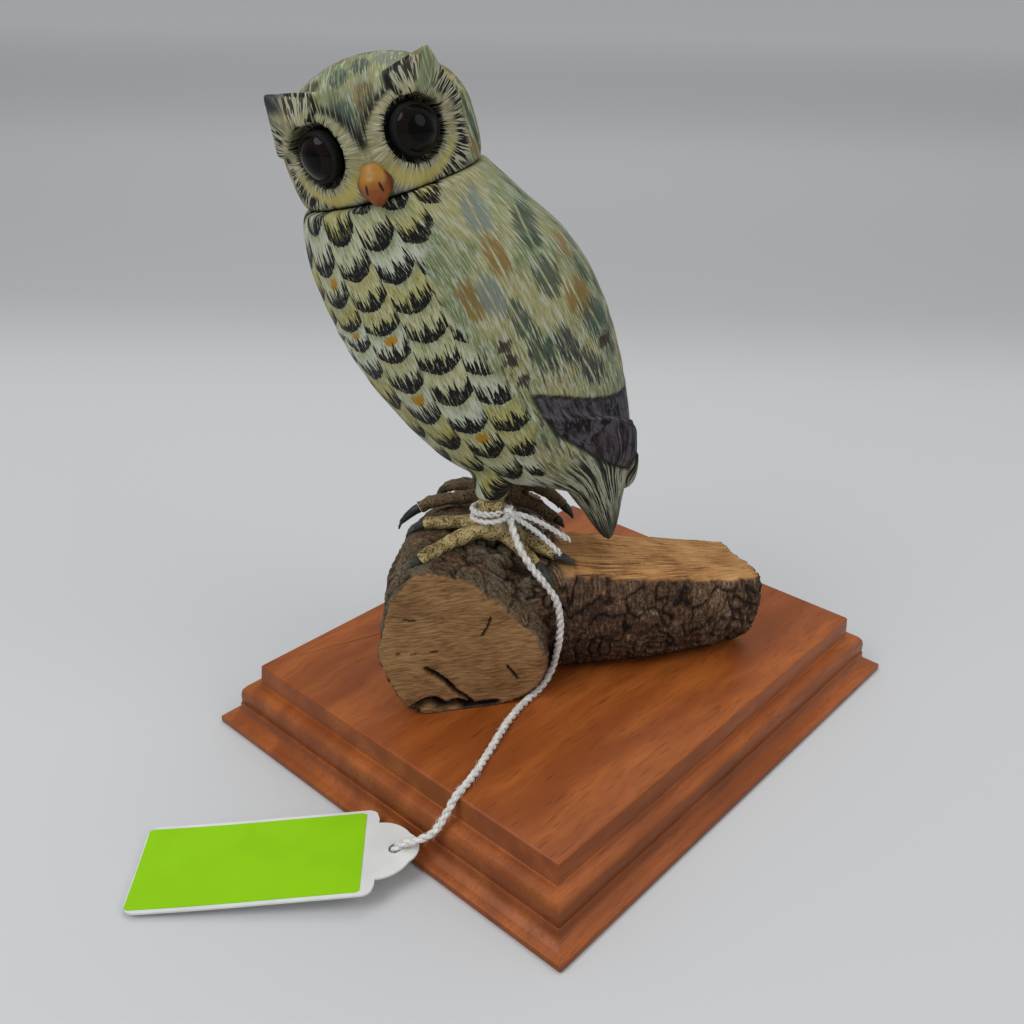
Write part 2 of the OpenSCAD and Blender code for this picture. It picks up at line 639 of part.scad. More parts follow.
// The turn at which the knot sits, from the owl's left towards its back
knot_turn = 72;
tail_lines = [[[1.7, 5.4, 7.8], [0.8, 8.6, 6.6], [-0.4, 13, 4], [-1.2, 17.2, 1], [-1.8, 21, -2]],
    [[1.8, 5.6, 7], [1, 8.8, 4.4], [0.2, 13, 0.6], [1.2, 16, -1.8], [2.2, 18.5, -4]]];
module string_knot() {
    wrap = [for (i = [0:wrap_steps])
        let (f = i / wrap_steps, a = knot_turn + 360 * wrap_turns * f)
        [wrap_r * cos(a), wrap_r * sin(a), wrap_z + wrap_turns * (string_d + 0.1) * f]];
    color("white") owl_place() translate([stance, foot_y(1), 0]) {
        tube(wrap, [string_d / 2, string_d / 2], 8);
        rotate([0, 0, knot_turn]) translate([wrap_r, 0, wrap_z + string_d / 2]) sphere(d = 2.1 * string_d, $fn = 12);
        for (line = tail_lines)
            tube([for (i = [0:8]) open_curve(line, i / 2)], [string_d / 2, string_d / 2], 8);
    }
}

module tag_place() {
    translate(hole_at) rotate([0, -tag_slope, tag_turn]) translate([-tag_hole, 0, 0]) children();
}

// A flat rectangle with round corners, from x = 0
module round_card(length, width, corner) {
    inner_w = width - 2 * corner;
    translate([corner, 0]) {
        translate([0, -width / 2]) square([length - 2 * corner, width]);
        translate([-corner, -inner_w / 2]) square([length, inner_w]);
        for (x = [0, length - 2 * corner], y = [-1, 1])
            translate([x, y * inner_w / 2]) circle(r = corner);
    }
}

module tag_card() {
    color("whitesmoke") tag_place() difference() {
        linear_extrude(tag_t) {
            round_card(tag_body, tag_w, tag_corner);
            translate([tag_body, 0]) circle(d = 0.66 * tag_w);
            translate([0.92 * tag_l, 0]) circle(d = 0.16 * tag_l);
        }
        translate([tag_hole, 0, -1]) cylinder(d = hole_d, h = tag_t + 2);
    }
}

module tag_label() {
    color("lawngreen") tag_place() translate([0.4 * label_margin, 0, tag_t]) linear_extrude(label_t)
        round_card(tag_body - label_gap - 0.4 * label_margin, tag_w - 2 * label_margin, tag_corner);
}

// The stopper knot under the card, where the string ends
module stopper_knot() {
    color("white") tag_place() translate([tag_hole, 0, -1.2 * string_d]) sphere(d = 2.4 * string_d, $fn = 24);
}

plinth();
log_screws();
driftwood_log();
owl_body();
neck_dowel();
owl_head();
left_eye();
right_eye();
left_eye_rim();
right_eye_rim();
left_eye_stem();
right_eye_stem();
beak();
left_leg_pin();
right_leg_pin();
tag_string();
left_foot();
right_foot();
left_claws();
right_claws();
string_knot();
stopper_knot();
tag_card();
tag_label();
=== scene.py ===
"""Carved and painted owl on a forked piece of driftwood, on a moulded hardwood plinth with a swing tag.

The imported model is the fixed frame: positions come from its nodes, and every visible piece is a finer
mesh with a painted, stained, barked or twisted finish made of nodes. Sizes here are in millimetres.
"""

import json
import logging
import math
import random
from dataclasses import dataclass
from enum import Enum

import bpy
import numpy as np
from mathutils import Matrix, Vector, noise

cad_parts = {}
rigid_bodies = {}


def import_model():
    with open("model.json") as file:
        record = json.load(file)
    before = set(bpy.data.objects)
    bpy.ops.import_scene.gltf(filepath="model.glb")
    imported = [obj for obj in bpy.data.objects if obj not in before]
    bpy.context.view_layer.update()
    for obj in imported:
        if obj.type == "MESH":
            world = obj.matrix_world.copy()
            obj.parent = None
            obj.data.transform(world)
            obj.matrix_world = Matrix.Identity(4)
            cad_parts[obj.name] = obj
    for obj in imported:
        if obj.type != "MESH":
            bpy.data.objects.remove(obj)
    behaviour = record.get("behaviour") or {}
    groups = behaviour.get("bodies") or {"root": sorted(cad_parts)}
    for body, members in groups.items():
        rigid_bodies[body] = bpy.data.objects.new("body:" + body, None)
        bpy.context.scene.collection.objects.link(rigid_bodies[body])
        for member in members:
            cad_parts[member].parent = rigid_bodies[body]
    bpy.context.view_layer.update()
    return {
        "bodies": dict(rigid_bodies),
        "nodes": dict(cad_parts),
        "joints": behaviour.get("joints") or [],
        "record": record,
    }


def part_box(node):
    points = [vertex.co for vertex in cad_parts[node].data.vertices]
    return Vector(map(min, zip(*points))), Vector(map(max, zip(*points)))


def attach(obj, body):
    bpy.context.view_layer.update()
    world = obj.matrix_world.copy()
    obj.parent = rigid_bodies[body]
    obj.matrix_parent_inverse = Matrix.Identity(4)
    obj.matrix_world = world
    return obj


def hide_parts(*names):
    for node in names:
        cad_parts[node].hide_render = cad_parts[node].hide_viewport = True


MM = 0.001
BODY = "root"
LOG = logging.getLogger("owl")
UP = np.array([0.0, 0.0, 1.0])
Socket = bpy.types.NodeSocket

# Nodes that are wanted often: the node's type, the sockets its inputs go to in order, the socket that it
# gives, and its settings. Blend lays one colour over another by a share. Ease is 0 where a value is at its
# low end and 1 at its high end.
SHORT_KINDS = {
    "Blend": ("Mix", (0, 6, 7), 2, {"data_type": "RGBA", "clamp_factor": True}),
    "Ease": ("MapRange", (0, 1, 2), 0, {"interpolation_type": "SMOOTHSTEP"}),
}


class Side(Enum):
    """The owl's own left and right; the value is the sign of X on that side of its head."""

    LEFT = 1
    RIGHT = -1

    @property
    def word(self) -> str:
        """The side's name as the nodes write it."""
        return self.name.lower()


class WingPaint(Enum):
    """The paints of the wing's brushed marks."""

    TEAL = "#2c4039"
    OCHRE = "#80612a"
    SLATE = "#2b2a30"
    GREY = "#6f7b76"


# ---- geometry helpers --------------------------------------------------------------------------


def unit(vector: np.ndarray) -> np.ndarray:
    """The vector turned to length 1."""
    return vector / np.linalg.norm(vector)


def smooth(low: float, high: float, value: np.ndarray) -> np.ndarray:
    """0 below low, 1 above high, and an even ease between them; low may be the larger one."""
    share = np.clip((value - low) / (high - low), 0, 1)
    return share * share * (3 - 2 * share)


def curve(points: list, count: int) -> np.ndarray:
    """Points on a smooth line through given ones.

    Args:
        points: the set points, two or three numbers each.
        count: how many points the result has.
    Returns:
        An array of count points on a Catmull-Rom curve, which passes through every set point.
    """
    p = np.array([points[0], *points, points[-1]], float)
    t = np.linspace(0, len(points) - 1, count)
    i = np.minimum(t.astype(int), len(points) - 2)
    f = (t - i)[:, None]
    a, b, c, d = p[i], p[i + 1], p[i + 2], p[i + 3]
    return b + 0.5 * f * ((c - a) + f * (2 * a - 5 * b + 4 * c - d + f * (3 * (b - c) + d - a)))


def inside_by(outline: np.ndarray, points: np.ndarray) -> np.ndarray:
    """How far each flat point lies inside a closed outline, negative outside.

    Args:
        outline: the corners of the outline, in order.
        points: the flat points to test.
    Returns:
        One distance for each point.
    """
    start, end = outline, np.roll(outline, -1, axis=0)
    best = np.full(len(points), 1e9)
    crossings = np.zeros(len(points), int)
    for a, b in zip(start, end):
        along = b - a
        share = np.clip(((points - a) @ along) / (along @ along), 0, 1)
        best = np.minimum(best, np.linalg.norm(points - a - share[:, None] * along, axis=1))
        spans = (a[1] > points[:, 1]) != (b[1] > points[:, 1])
        rise = along[1] if abs(along[1]) > 1e-9 else 1e-9
        crossings += spans & (points[:, 0] < a[0] + along[0] * (points[:, 1] - a[1]) / rise)
    return np.where(crossings % 2 == 1, best, -best)


def ripple(points: np.ndarray, size: float, seed: float = 0.0, depth: int = 1) -> np.ndarray:
    """Smooth noise from about -1 to 1 at each point.

    Args:
        points: where it is wanted, in millimetres, already stretched along a grain if it has one.
        size: the width of one bump in millimetres.
        seed: moves the pattern, so that two calls differ.
        depth: how many finer layers are added.
    Returns:
        One value for each point.
    """
    scaled = points / size + seed
    return np.array([noise.fractal(Vector(p), 0.9, 2.1, depth) for p in scaled.tolist()])


@dataclass(frozen=True)
class Place:
    """A sub-assembly's own frame in millimetres: its origin, and its axes as the rows of a matrix."""

    origin: np.ndarray
    axes: np.ndarray

    def into(self, points: np.ndarray) -> np.ndarray:
        """The model's points as seen in this frame."""
        return (points - self.origin) @ self.axes.T

    def out(self, points: np.ndarray) -> np.ndarray:
        """This frame's points, in the model's frame."""
        return np.asarray(points, float) @ self.axes + self.origin

    def moved(self, offset: tuple, about: str = "Z", degrees: float = 0.0) -> "Place":
        """A frame placed and turned within this one.

        Args:
            offset: where the new origin is, in this frame.
            about: the axis of this frame that the new one is turned about.
            degrees: the turn, by the right-hand rule.
        Returns:
            The new frame.
        """
        turn = np.array(Matrix.Rotation(math.radians(degrees), 3, about))
        return Place(self.out(np.array(offset)), turn.T @ self.axes)

    def mapping(self) -> dict:
        """The settings of a Mapping node that turns Object coordinates into this frame's millimetres.

        Returns:
            The settings by the node's input names.
        """
        shift = -self.axes @ self.origin
        return {
            "Location": tuple(shift),
            "Rotation": tuple(Matrix(self.axes.tolist()).to_euler("XYZ")),
            "Scale": (1 / MM,) * 3,
        }


# ---- mesh helpers ------------------------------------------------------------------------------


def pick_only(piece: bpy.types.Object) -> None:
    """Selects one object and makes it the active one.

    Args:
        piece: the object.
    """
    bpy.ops.object.select_all(action="DESELECT")
    piece.select_set(True)
    bpy.context.view_layer.objects.active = piece


def points_of(piece: bpy.types.Object) -> np.ndarray:
    """The places of a piece's vertices.

    Args:
        piece: the object.
    Returns:
        One row for each vertex, in millimetres.
    """
    flat = np.zeros(len(piece.data.vertices) * 3, np.float32)
    piece.data.vertices.foreach_get("co", flat)
    return flat.reshape(-1, 3).astype(float) / MM


def put_points(piece: bpy.types.Object, points: np.ndarray) -> None:
    """Moves the piece's vertices to these points, in millimetres."""
    piece.data.vertices.foreach_set("co", (points * MM).astype(np.float32).ravel())
    piece.data.update()


def normals_of(piece: bpy.types.Object) -> np.ndarray:
    """The directions in which a piece's surface faces.

    Args:
        piece: the object.
    Returns:
        One unit vector for each vertex.
    """
    flat = np.zeros(len(piece.data.vertices) * 3, np.float32)
    piece.data.vertices.foreach_get("normal", flat)
    return flat.reshape(-1, 3).astype(float)


def note(piece: bpy.types.Object, name: str, values: np.ndarray) -> None:
    """Writes three numbers to each vertex as a named attribute, for the piece's paint to read."""
    attribute = piece.data.attributes.new(name, "FLOAT_VECTOR", "POINT")
    attribute.data.foreach_set("vector", values.astype(np.float32).ravel())


def work(piece: bpy.types.Object, kind: str, **settings: object) -> None:
    """Adds one modifier to a piece and applies it.

    Args:
        piece: the object.
        kind: the modifier's type.
        **settings: the modifier's own settings.
    """
    pick_only(piece)
    modifier = piece.modifiers.new(kind.lower(), kind)
    for key, value in settings.items():
        setattr(modifier, key, value)
    bpy.ops.object.modifier_apply(modifier=modifier.name)


def smooth_shaded(piece: bpy.types.Object, degrees: float = 180.0) -> None:
    """Shades a piece smooth.

    Args:
        piece: the object.
        degrees: edges that turn more than this stay sharp.
    """
    pick_only(piece)
    if degrees >= 180:
        bpy.ops.object.shade_smooth()
    else:
        bpy.ops.object.shade_smooth_by_angle(angle=math.radians(degrees))


def merged_copy(frame: dict, node: str, name: str) -> bpy.types.Object:
    """A copy of a CAD node's mesh with its doubles merged, as a new piece.

    Args:
        node: the CAD node's name.
        name: the new piece's name.
    Returns:
        The new object, at the origin.
    """
    piece = bpy.data.objects.new(name, frame["nodes"][node].data.copy())
    bpy.context.scene.collection.objects.link(piece)
    piece.data.materials.clear()
    pick_only(piece)
    bpy.ops.object.mode_set(mode="EDIT")
    bpy.ops.mesh.select_all(action="SELECT")
    bpy.ops.mesh.remove_doubles(threshold=1e-6)
    bpy.ops.mesh.normals_make_consistent(inside=False)
    bpy.ops.object.mode_set(mode="OBJECT")
    return piece


def remeshed(frame: dict, node: str, name: str, cell: float, rounds: int) -> bpy.types.Object:
    """A copy of a CAD node as an even, smooth mesh that can be carved.

    Args:
        node: the CAD node's name.
        name: the new piece's name.
        cell: the size of a face in millimetres.
        rounds: how many times the mesh is smoothed.
    Returns:
        The new object.
    """
    piece = merged_copy(frame, node, name)
    work(piece, "REMESH", mode="VOXEL", voxel_size=cell * MM, use_smooth_shade=True)
    if rounds:
        work(piece, "SMOOTH", factor=0.5, iterations=rounds)
    return piece


def mesh_piece(name: str, points: np.ndarray, faces: list) -> bpy.types.Object:
    """A new piece from its points and faces.

    Args:
        name: its name.
        points: its points in millimetres.
        faces: the point numbers of each face.
    Returns:
        The new object, at the origin.
    """
    mesh = bpy.data.meshes.new(name)
    mesh.from_pydata((np.asarray(points) * MM).tolist(), [], faces)
    mesh.validate()
    piece = bpy.data.objects.new(name, mesh)
    bpy.context.scene.collection.objects.link(piece)
    return piece


def dressed(piece: bpy.types.Object, finish: bpy.types.Material, slot: str,
            *nodes: str) -> bpy.types.Object:
    """Gives a finished piece its material and its body.

    Args:
        piece: the object.
        finish: its material.
        slot: the name of its material slot; not used.
        *nodes: the CAD nodes that it stands for.
    Returns:
        The same object.
    """
    piece.data.materials.clear()
    piece.data.materials.append(finish)
    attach(piece, BODY)
    if nodes:
        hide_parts(*nodes)
    LOG.info("%s: %d faces, in %s", piece.name, len(piece.data.polygons), finish.name)
    return piece


# ---- paint helpers -----------------------------------------------------------------------------


def linear(code: str) -> tuple:
    """An sRGB hex colour as linear red, green, blue and a full alpha."""
    parts = [int(code[i : i + 2], 16) / 255 for i in (1, 3, 5)]
    return tuple(c / 12.92 if c <= 0.04045 else ((c + 0.055) / 1.055) ** 2.4 for c in parts) + (1.0,)


class Paint:
    """A material in the making: its node tree, and the one method that adds a node to it."""

    def __init__(self, name: str) -> None:
        """Starts an empty material.

        Args:
            name: its name.
        """
        self.material = bpy.data.materials.new(name)
        self.material.use_nodes = True
        self.tree = self.material.node_tree
        self.tree.nodes.clear()

    def add(self, kind: str, *inputs: object, out: int | str | None = None, ramp: tuple = (),
            **settings: object) -> Socket | None:
        """Adds one node with its settings and links.

        Args:
            kind: the node's type without its ShaderNode prefix, with an operation after a colon, or a
                name in SHORT_KINDS.
            *inputs: a socket, number, colour code or vector for each input in order, or one dict of
                them by input name or number.
            out: which output is returned, where it isn't the first.
            ramp: pairs of place and colour code, for a colour ramp.
            **settings: the node's own settings.
        Returns:
            The output socket, or None for a node without one.
        """
        kind, _, operation = kind.partition(":")
        kind, slots, main_output, preset = SHORT_KINDS.get(kind, (kind, range(len(inputs)), 0, {}))
        node = self.tree.nodes.new("ShaderNode" + kind)
        if operation:
            node.operation = operation
        for key, value in {**preset, **settings}.items():
            setattr(node, key, value)
        stops = node.color_ramp.elements if ramp else ()
        for k, (place, code) in enumerate(ramp):
            stop = stops[k] if k < len(stops) else stops.new(place)
            stop.position, stop.color = place, linear(code)
        given = inputs[0] if inputs and isinstance(inputs[0], dict) else dict(zip(slots, inputs))
        for key, value in given.items():
            if isinstance(value, bpy.types.NodeSocket):
                self.tree.links.new(value, node.inputs[key])
            else:
                node.inputs[key].default_value = linear(value) if isinstance(value, str) else value
        if not len(node.outputs):
            return None
        return node.outputs[main_output if out is None else out]

    def close(self, height: Socket | None = None, depth: float = 0.1,
              **surface: object) -> bpy.types.Material:
        """Ends the material with a surface.

        Args:
            height: a socket that says where the surface is raised, from 0 to 1.
            depth: how far that raises it in millimetres.
            **surface: the surface shader's inputs, with underscores for spaces.
        Returns:
            The finished material.
        """
        inputs = {key.replace("_", " "): value for key, value in surface.items()}
        if height is not None:
            inputs["Normal"] = self.add("Bump", {"Strength": 1.0, "Distance": depth * MM, "Height": height})
        self.add("OutputMaterial", self.add("BsdfPrincipled", inputs))
        return self.material


# ---- finishes ----------------------------------------------------------------------------------


@dataclass(frozen=True)
class StainedHardwood:
    """Close-grained hardwood under an orange-brown stain and satin lacquer: long fine grain, soft gloss."""

    # Stained and lacquered hardwood: warm, even and only softly shiny, with short dark pores along the grain,
    # and painted shade on its sides.
    light: str = "#b2622a"
    deep: str = "#914a1d"
    pore: str = "#4e2410"
    grain_mm: float = 0.9
    figure_mm: float = 9.0
    along: float = 0.045

    def made(self) -> bpy.types.Material:
        """The finished material.

        Returns:
            The material, with its grain along Y.
        """
        p = Paint("stained_hardwood")
        m = p.add
        place = m("TexCoord", out="Object")
        warp = m("TexNoise", {"Vector": place, "Scale": 1 / (40 * MM), "Detail": 2.0})
        bent = m("Mix", {0: 0.012, 4: place, 5: m("TexNoise", {"Vector": place, "Scale": 30.0}, out=1)},
                 out=1, data_type="VECTOR")
        long = m("Mapping", {"Vector": bent, "Scale": (1.0, self.along, 1.0)})
        grain = m("TexNoise", {"Vector": long, "Scale": 1 / (self.grain_mm * MM), "Detail": 5.0,
                               "Roughness": 0.65})
        figure = m("TexNoise", {"Vector": m("Mapping", {"Vector": bent, "Scale": (1.0, 0.16, 1.0)}),
                                "Scale": 1 / (self.figure_mm * MM), "Detail": 3.0})
        pores = m("TexNoise", {"Vector": m("Mapping", {"Vector": place, "Scale": (1.0, 0.07, 1.0)}),
                               "Scale": 1 / (0.45 * MM), "Detail": 1.0})
        board = m("Blend", m("Ease", figure, 0.35, 0.68), self.deep, self.light)
        board = m("Blend", m("Math:MULTIPLY", m("Ease", grain, 0.42, 0.7), 0.55), board, self.deep)
        dark = m("Math:MULTIPLY", m("Ease", pores, 0.6, 0.74), 0.4)
        board = m("Blend", dark, board, self.pore)
        # Painted shade: faces that turn from upward, the sides and mouldings, are darkened towards the pore
        # colour.
        facing = m("SeparateXYZ", m("NewGeometry", out="Normal"), out="Z")
        side = m("Math:MULTIPLY", m("Ease", m("Math:ABSOLUTE", facing), 0.75, 0.3), 0.35)
        board = m("Blend", side, board, self.pore)
        board = m("Blend", m("Math:MULTIPLY", m("Ease", warp, 0.62, 0.8), 0.25), board, self.pore)
        gloss = m("MapRange", grain, 0.3, 0.8, 0.36, 0.5)
        return p.close(grain, 0.05, Base_Color=board, Roughness=gloss, Specular_IOR_Level=0.3)


@dataclass(frozen=True)
class Driftwood:
    """Weathered wood: rough mottled bark, one face sawn across the grain and one split along it."""

    # Dry driftwood: quite matt, greyer where it has weathered, tan where it was cut, with painted shade
    # darkening its cracks, its pits and its underside.
    bark: tuple = ("#1d1613", "#4a3628", "#755c47", "#a8967e")
    sawn: tuple = ("#6d4c2e", "#967149", "#b08c60")
    split: tuple = ("#7c5230", "#b98550", "#cfa26a")
    grey: str = "#857d6a"
    moss: str = "#6d6c50"
    rust: str = "#8a5a2e"
    saw_lines: float = 1.9

    def made(self, saw_face: Place) -> bpy.types.Material:
        """The finished material.

        Args:
            saw_face: the sawn face's frame, with Y up the face.
        Returns:
            The material, which reads the piece's zones attribute: sawn, split and grey shares.
        """
        p = Paint("weathered_driftwood")
        m = p.add
        place = m("TexCoord", out="Object")
        zones = m("SeparateXYZ", m("Attribute", attribute_name="zones", out="Vector")).node
        sawn_share, split_share, grey_share = zones.outputs
        flow = m("Attribute", attribute_name="flow", out="Vector")
        strips = m("TexNoise", {"Vector": m("Mapping", {"Vector": flow, "Scale": (0.35, 1.3, 1.0)}),
                                "Scale": 1.0, "Detail": 5.0, "Roughness": 0.7})
        specks = m("TexNoise", {"Vector": place, "Scale": 1 / (0.8 * MM), "Detail": 6.0, "Roughness": 0.85})
        patch = m("TexNoise", {"Vector": place, "Scale": 1 / (11 * MM), "Detail": 3.0, "Roughness": 0.6})
        flakes = m("Math:ADD", m("Math:MULTIPLY", strips, 0.5), m("Math:MULTIPLY", specks, 0.5))
        mixed = m("Math:ADD", m("Math:MULTIPLY", flakes, 0.75), m("Math:MULTIPLY", patch, 0.25))
        bark = m("ValToRGB", mixed, ramp=tuple(zip((0.4, 0.49, 0.55, 0.62), self.bark)))
        # Painted shade: bark that faces downward, under the log, is darkened towards its darkest colour.
        under = m("SeparateXYZ", m("NewGeometry", out="Normal"), out="Z")
        bark = m("Blend", m("Math:MULTIPLY", m("Ease", under, 0.15, -0.7), 0.75), bark, self.bark[0])
        lichen = m("Blend", m("Ease", patch, 0.42, 0.6), self.grey, self.moss)
        grey = m("Blend", m("Ease", specks, 0.42, 0.56), bark, lichen)
        bark = m("Blend", m("Math:MULTIPLY", grey_share, 0.85), bark, grey)
        rust = m("TexNoise", {"Vector": place, "Scale": 1 / (1.7 * MM), "Detail": 2.0})
        bark = m("Blend", m("Math:MULTIPLY", m("Ease", rust, 0.58, 0.68), 0.45), bark, self.rust)
        face = m("Mapping", {"Vector": place, **saw_face.mapping()})
        wander = m("TexNoise", {"Vector": m("Mapping", {"Vector": face, "Scale": (0.09, 0.09, 0.09)}),
                                "Scale": 1.0}, out=1)
        lines = m("Mapping", {"Vector": m("VectorMath:MULTIPLY_ADD", wander, (3.0, 3.0, 3.0), face),
                              "Scale": (0.1, 1.0, 0.3)})
        saw = m("TexNoise", {"Vector": lines, "Scale": self.saw_lines, "Detail": 4.0, "Roughness": 0.62})
        cloud = m("TexNoise", {"Vector": m("Mapping", {"Vector": face, "Scale": (0.09, 0.14, 0.1)}),
                               "Scale": 1.0, "Detail": 3.0})
        cut = m("ValToRGB", m("Math:ADD", m("Math:MULTIPLY", saw, 0.7), m("Math:MULTIPLY", cloud, 0.3)),
                ramp=tuple(zip((0.36, 0.5, 0.64), self.sawn)))
        fibre = m("TexNoise", {"Vector": m("Mapping", {"Vector": flow, "Scale": (2.2, 0.12, 1.0)}),
                               "Scale": 1.0, "Detail": 5.0, "Roughness": 0.6})
        torn = m("Math:ADD", m("Math:MULTIPLY", fibre, 0.62), m("Math:MULTIPLY", patch, 0.38))
        board = m("ValToRGB", torn, ramp=tuple(zip((0.38, 0.5, 0.62), self.split)))
        tone = m("Blend", sawn_share, m("Blend", split_share, bark, board), cut)
        # Painted shade: the sunk pits, fibre grooves and cracks are darkened nearly to black.
        recess_shade_share = m("SeparateXYZ", m("Attribute", attribute_name="recess_shade", out="Vector"), out="X")
        tone = m("Blend", recess_shade_share, tone, "#0d0807")
        height = m("Mix", {0: sawn_share, 2: m("Mix", {0: split_share, 2: flakes, 3: fibre}), 3: saw})
        return p.close(height, 0.35, Base_Color=tone, Roughness=0.86, Specular_IOR_Level=0.25)


@dataclass(frozen=True)
class Plumage:
    """Artist's acrylic paint brushed over carved basswood.

    The breast has scalloped feathers, the wings are mottled, and the primaries are dark. The paint is matt,
    and its strokes stand up a little.
    """

    # Acrylic on a sealed carving: matt, with brush strokes that catch a little light. Each mark is its
    # place towards the back and upwards, and its paint.
    cream: str = "#9c9564"
    yellow: str = "#a8a058"
    pale: str = "#bfc6b4"
    green: str = "#747e56"
    olive: str = "#4e5232"
    ink: str = "#0e0d11"
    orange: str = "#a87c1f"
    umber: str = "#33211c"
    column_mm: float = 8.8
    row_mm: float = 8.2
    marks: tuple = ((5.4, 81.6, WingPaint.TEAL), (10.2, 71.2, WingPaint.TEAL), (4.3, 62.8, WingPaint.TEAL),
                    (15.6, 55.6, WingPaint.SLATE), (-5.8, 85.2, WingPaint.GREY),
                    (-1.1, 76.4, WingPaint.OCHRE), (-6.9, 67, WingPaint.OCHRE),
                    (17.9, 65.8, WingPaint.OCHRE), (11.6, 85, WingPaint.OCHRE),
                    (14.8, 77.5, WingPaint.OCHRE), (22.5, 60, WingPaint.TEAL), (19.5, 72, WingPaint.TEAL),
                    (26, 66, WingPaint.TEAL), (9.6, 54.5, WingPaint.TEAL), (27.5, 53.5, WingPaint.SLATE),
                    (21, 50, WingPaint.SLATE), (-2.2, 68, WingPaint.GREY))
    squares: tuple = ((2.4, 53.2), (5.3, 48.3), (24.6, 54.6), (0.8, 56.4))

    def strokes(self, p: Paint, across: Socket, along: Socket, width: float, length: float,
                seed: float = 0.0) -> Socket:
        """Noise drawn out into brush strokes.

        Args:
            p: the material in the making.
            across: millimetres across the strokes.
            along: millimetres along them.
            width: the width of a stroke in millimetres.
            length: its length.
            seed: chooses other strokes.
        Returns:
            The noise, from 0 to 1.
        """
        place = p.add("CombineXYZ", p.add("Math:DIVIDE", across, width),
                      p.add("Math:DIVIDE", along, length), seed)
        return p.add("TexNoise", {"Vector": place, "Scale": 1.0, "Detail": 2.5, "Roughness": 0.6})

    def ground(self, p: Paint, across: Socket, along: Socket, place: Socket) -> tuple:
        """The brushed ground colour under all the feathers: pale green, cream and grey strokes.

        Args:
            p: the material in the making.
            across: millimetres across the feathers.
            along: millimetres along them.
            place: Object coordinates.
        Returns:
            The colour and the fine strokes in it.
        """
        m = p.add
        cloud = m("TexNoise", {"Vector": place, "Scale": 1 / (13 * MM), "Detail": 2.0})
        fine = self.strokes(p, across, along, 0.34, 3.2)
        wide = self.strokes(p, across, along, 1.1, 6.0, 4.0)
        tone = m("Blend", m("Ease", cloud, 0.38, 0.62), self.green, self.cream)
        tone = m("Blend", m("Math:MULTIPLY", m("Ease", wide, 0.5, 0.66), 0.55), tone, self.pale)
        tone = m("Blend", m("Math:MULTIPLY", m("Ease", fine, 0.5, 0.66), 0.5), tone, self.pale)
        return m("Blend", m("Math:MULTIPLY", m("Ease", fine, 0.46, 0.3), 0.55), tone, self.olive), fine

    def scallops(self, p: Paint, ground: Socket, column: Socket, along: Socket, fine: Socket) -> Socket:
        """Breast feathers in columns: pale fields with a spiked black edge below and a dark shaft.

        Args:
            p: the material in the making.
            ground: the colour underneath.
            column: the column number and place within it, as one growing number.
            along: the distance down the body in millimetres.
            fine: the fine brush strokes.
        Returns:
            The painted colour.
        """
        m = p.add
        number = m("Math:FLOOR", column)
        across = m("Math:SUBTRACT", m("Math:SUBTRACT", column, number), 0.5)
        chance = m("TexWhiteNoise", {"W": number}, noise_dimensions="1D")
        step = m("Math:MULTIPLY", m("Math:MODULO", m("Math:ABSOLUTE", number), 2.0), 0.5)
        shift = m("Math:ADD", step, m("Math:MULTIPLY", chance, 0.16))
        rows = m("Math:ADD", m("Math:DIVIDE", along, self.row_mm), shift)
        row = m("Math:FLOOR", rows)
        down = m("Math:SUBTRACT", rows, row)
        width = m("Math:MULTIPLY", across, self.column_mm)
        tick = self.strokes(p, m("Math:ADD", width, m("Math:MULTIPLY", number, 31.0)), along, 0.46, 7.0)
        tick = m("Math:MULTIPLY", m("Math:SUBTRACT", tick, 0.5), 1.5)
        bow = m("Math:MULTIPLY", m("Math:POWER", m("Math:ABSOLUTE", m("Math:MULTIPLY", across, 2.0)), 1.8),
                0.33)
        edge = m("Math:ADD", m("Math:SUBTRACT", 1.0, bow), m("Math:MULTIPLY", tick, 0.16))
        below = m("Math:GREATER_THAN", down, edge)
        feather = m("Math:ADD", row, below)
        up = m("Math:MULTIPLY", m("Math:SUBTRACT", edge, m("Math:SUBTRACT", down, below)), self.row_mm)
        seed = m("CombineXYZ", number, feather, 0.0)
        dice = m("TexWhiteNoise", {"Vector": seed}, noise_dimensions="3D")
        tint = m("TexWhiteNoise", {"Vector": m("Mapping", {"Vector": seed, "Location": (9.0, 5.0, 0.0)})},
                 noise_dimensions="3D")
        field = m("Blend", m("Ease", tint, 0.15, 0.85), self.yellow, self.pale)
        field = m("Blend", m("Math:MULTIPLY", m("Ease", fine, 0.5, 0.62), 0.55), field, "#cfcfb4")
        field = m("Blend", m("Math:MULTIPLY", m("Ease", fine, 0.48, 0.34), 0.6), field, self.olive)
        tone = m("Blend", m("Math:MULTIPLY", m("Ease", up, 9.4, 5.0), 0.85), ground, field)
        spot_x = m("Math:DIVIDE", m("Math:SUBTRACT", width, 0.8), 1.7)
        spot_y = m("Math:DIVIDE", m("Math:SUBTRACT", up, 6.2), 1.5)
        spot = m("Math:ADD", m("Math:MULTIPLY", spot_x, spot_x), m("Math:MULTIPLY", spot_y, spot_y))
        spot = m("Math:MULTIPLY", m("Ease", m("Math:ADD", spot, m("Math:MULTIPLY", tick, 2.5)), 1.3, 0.5),
                 m("Math:GREATER_THAN", dice, 0.9))
        tone = m("Blend", spot, tone, self.orange)
        ragged = m("Math:ADD", up, m("Math:MULTIPLY", tick, -12.0))
        thick = m("Math:SUBTRACT", 3.5, m("Math:MULTIPLY", m("Math:ABSOLUTE", across), 1.2))
        band = m("Ease", m("Math:SUBTRACT", thick, ragged), -0.12, 0.25)
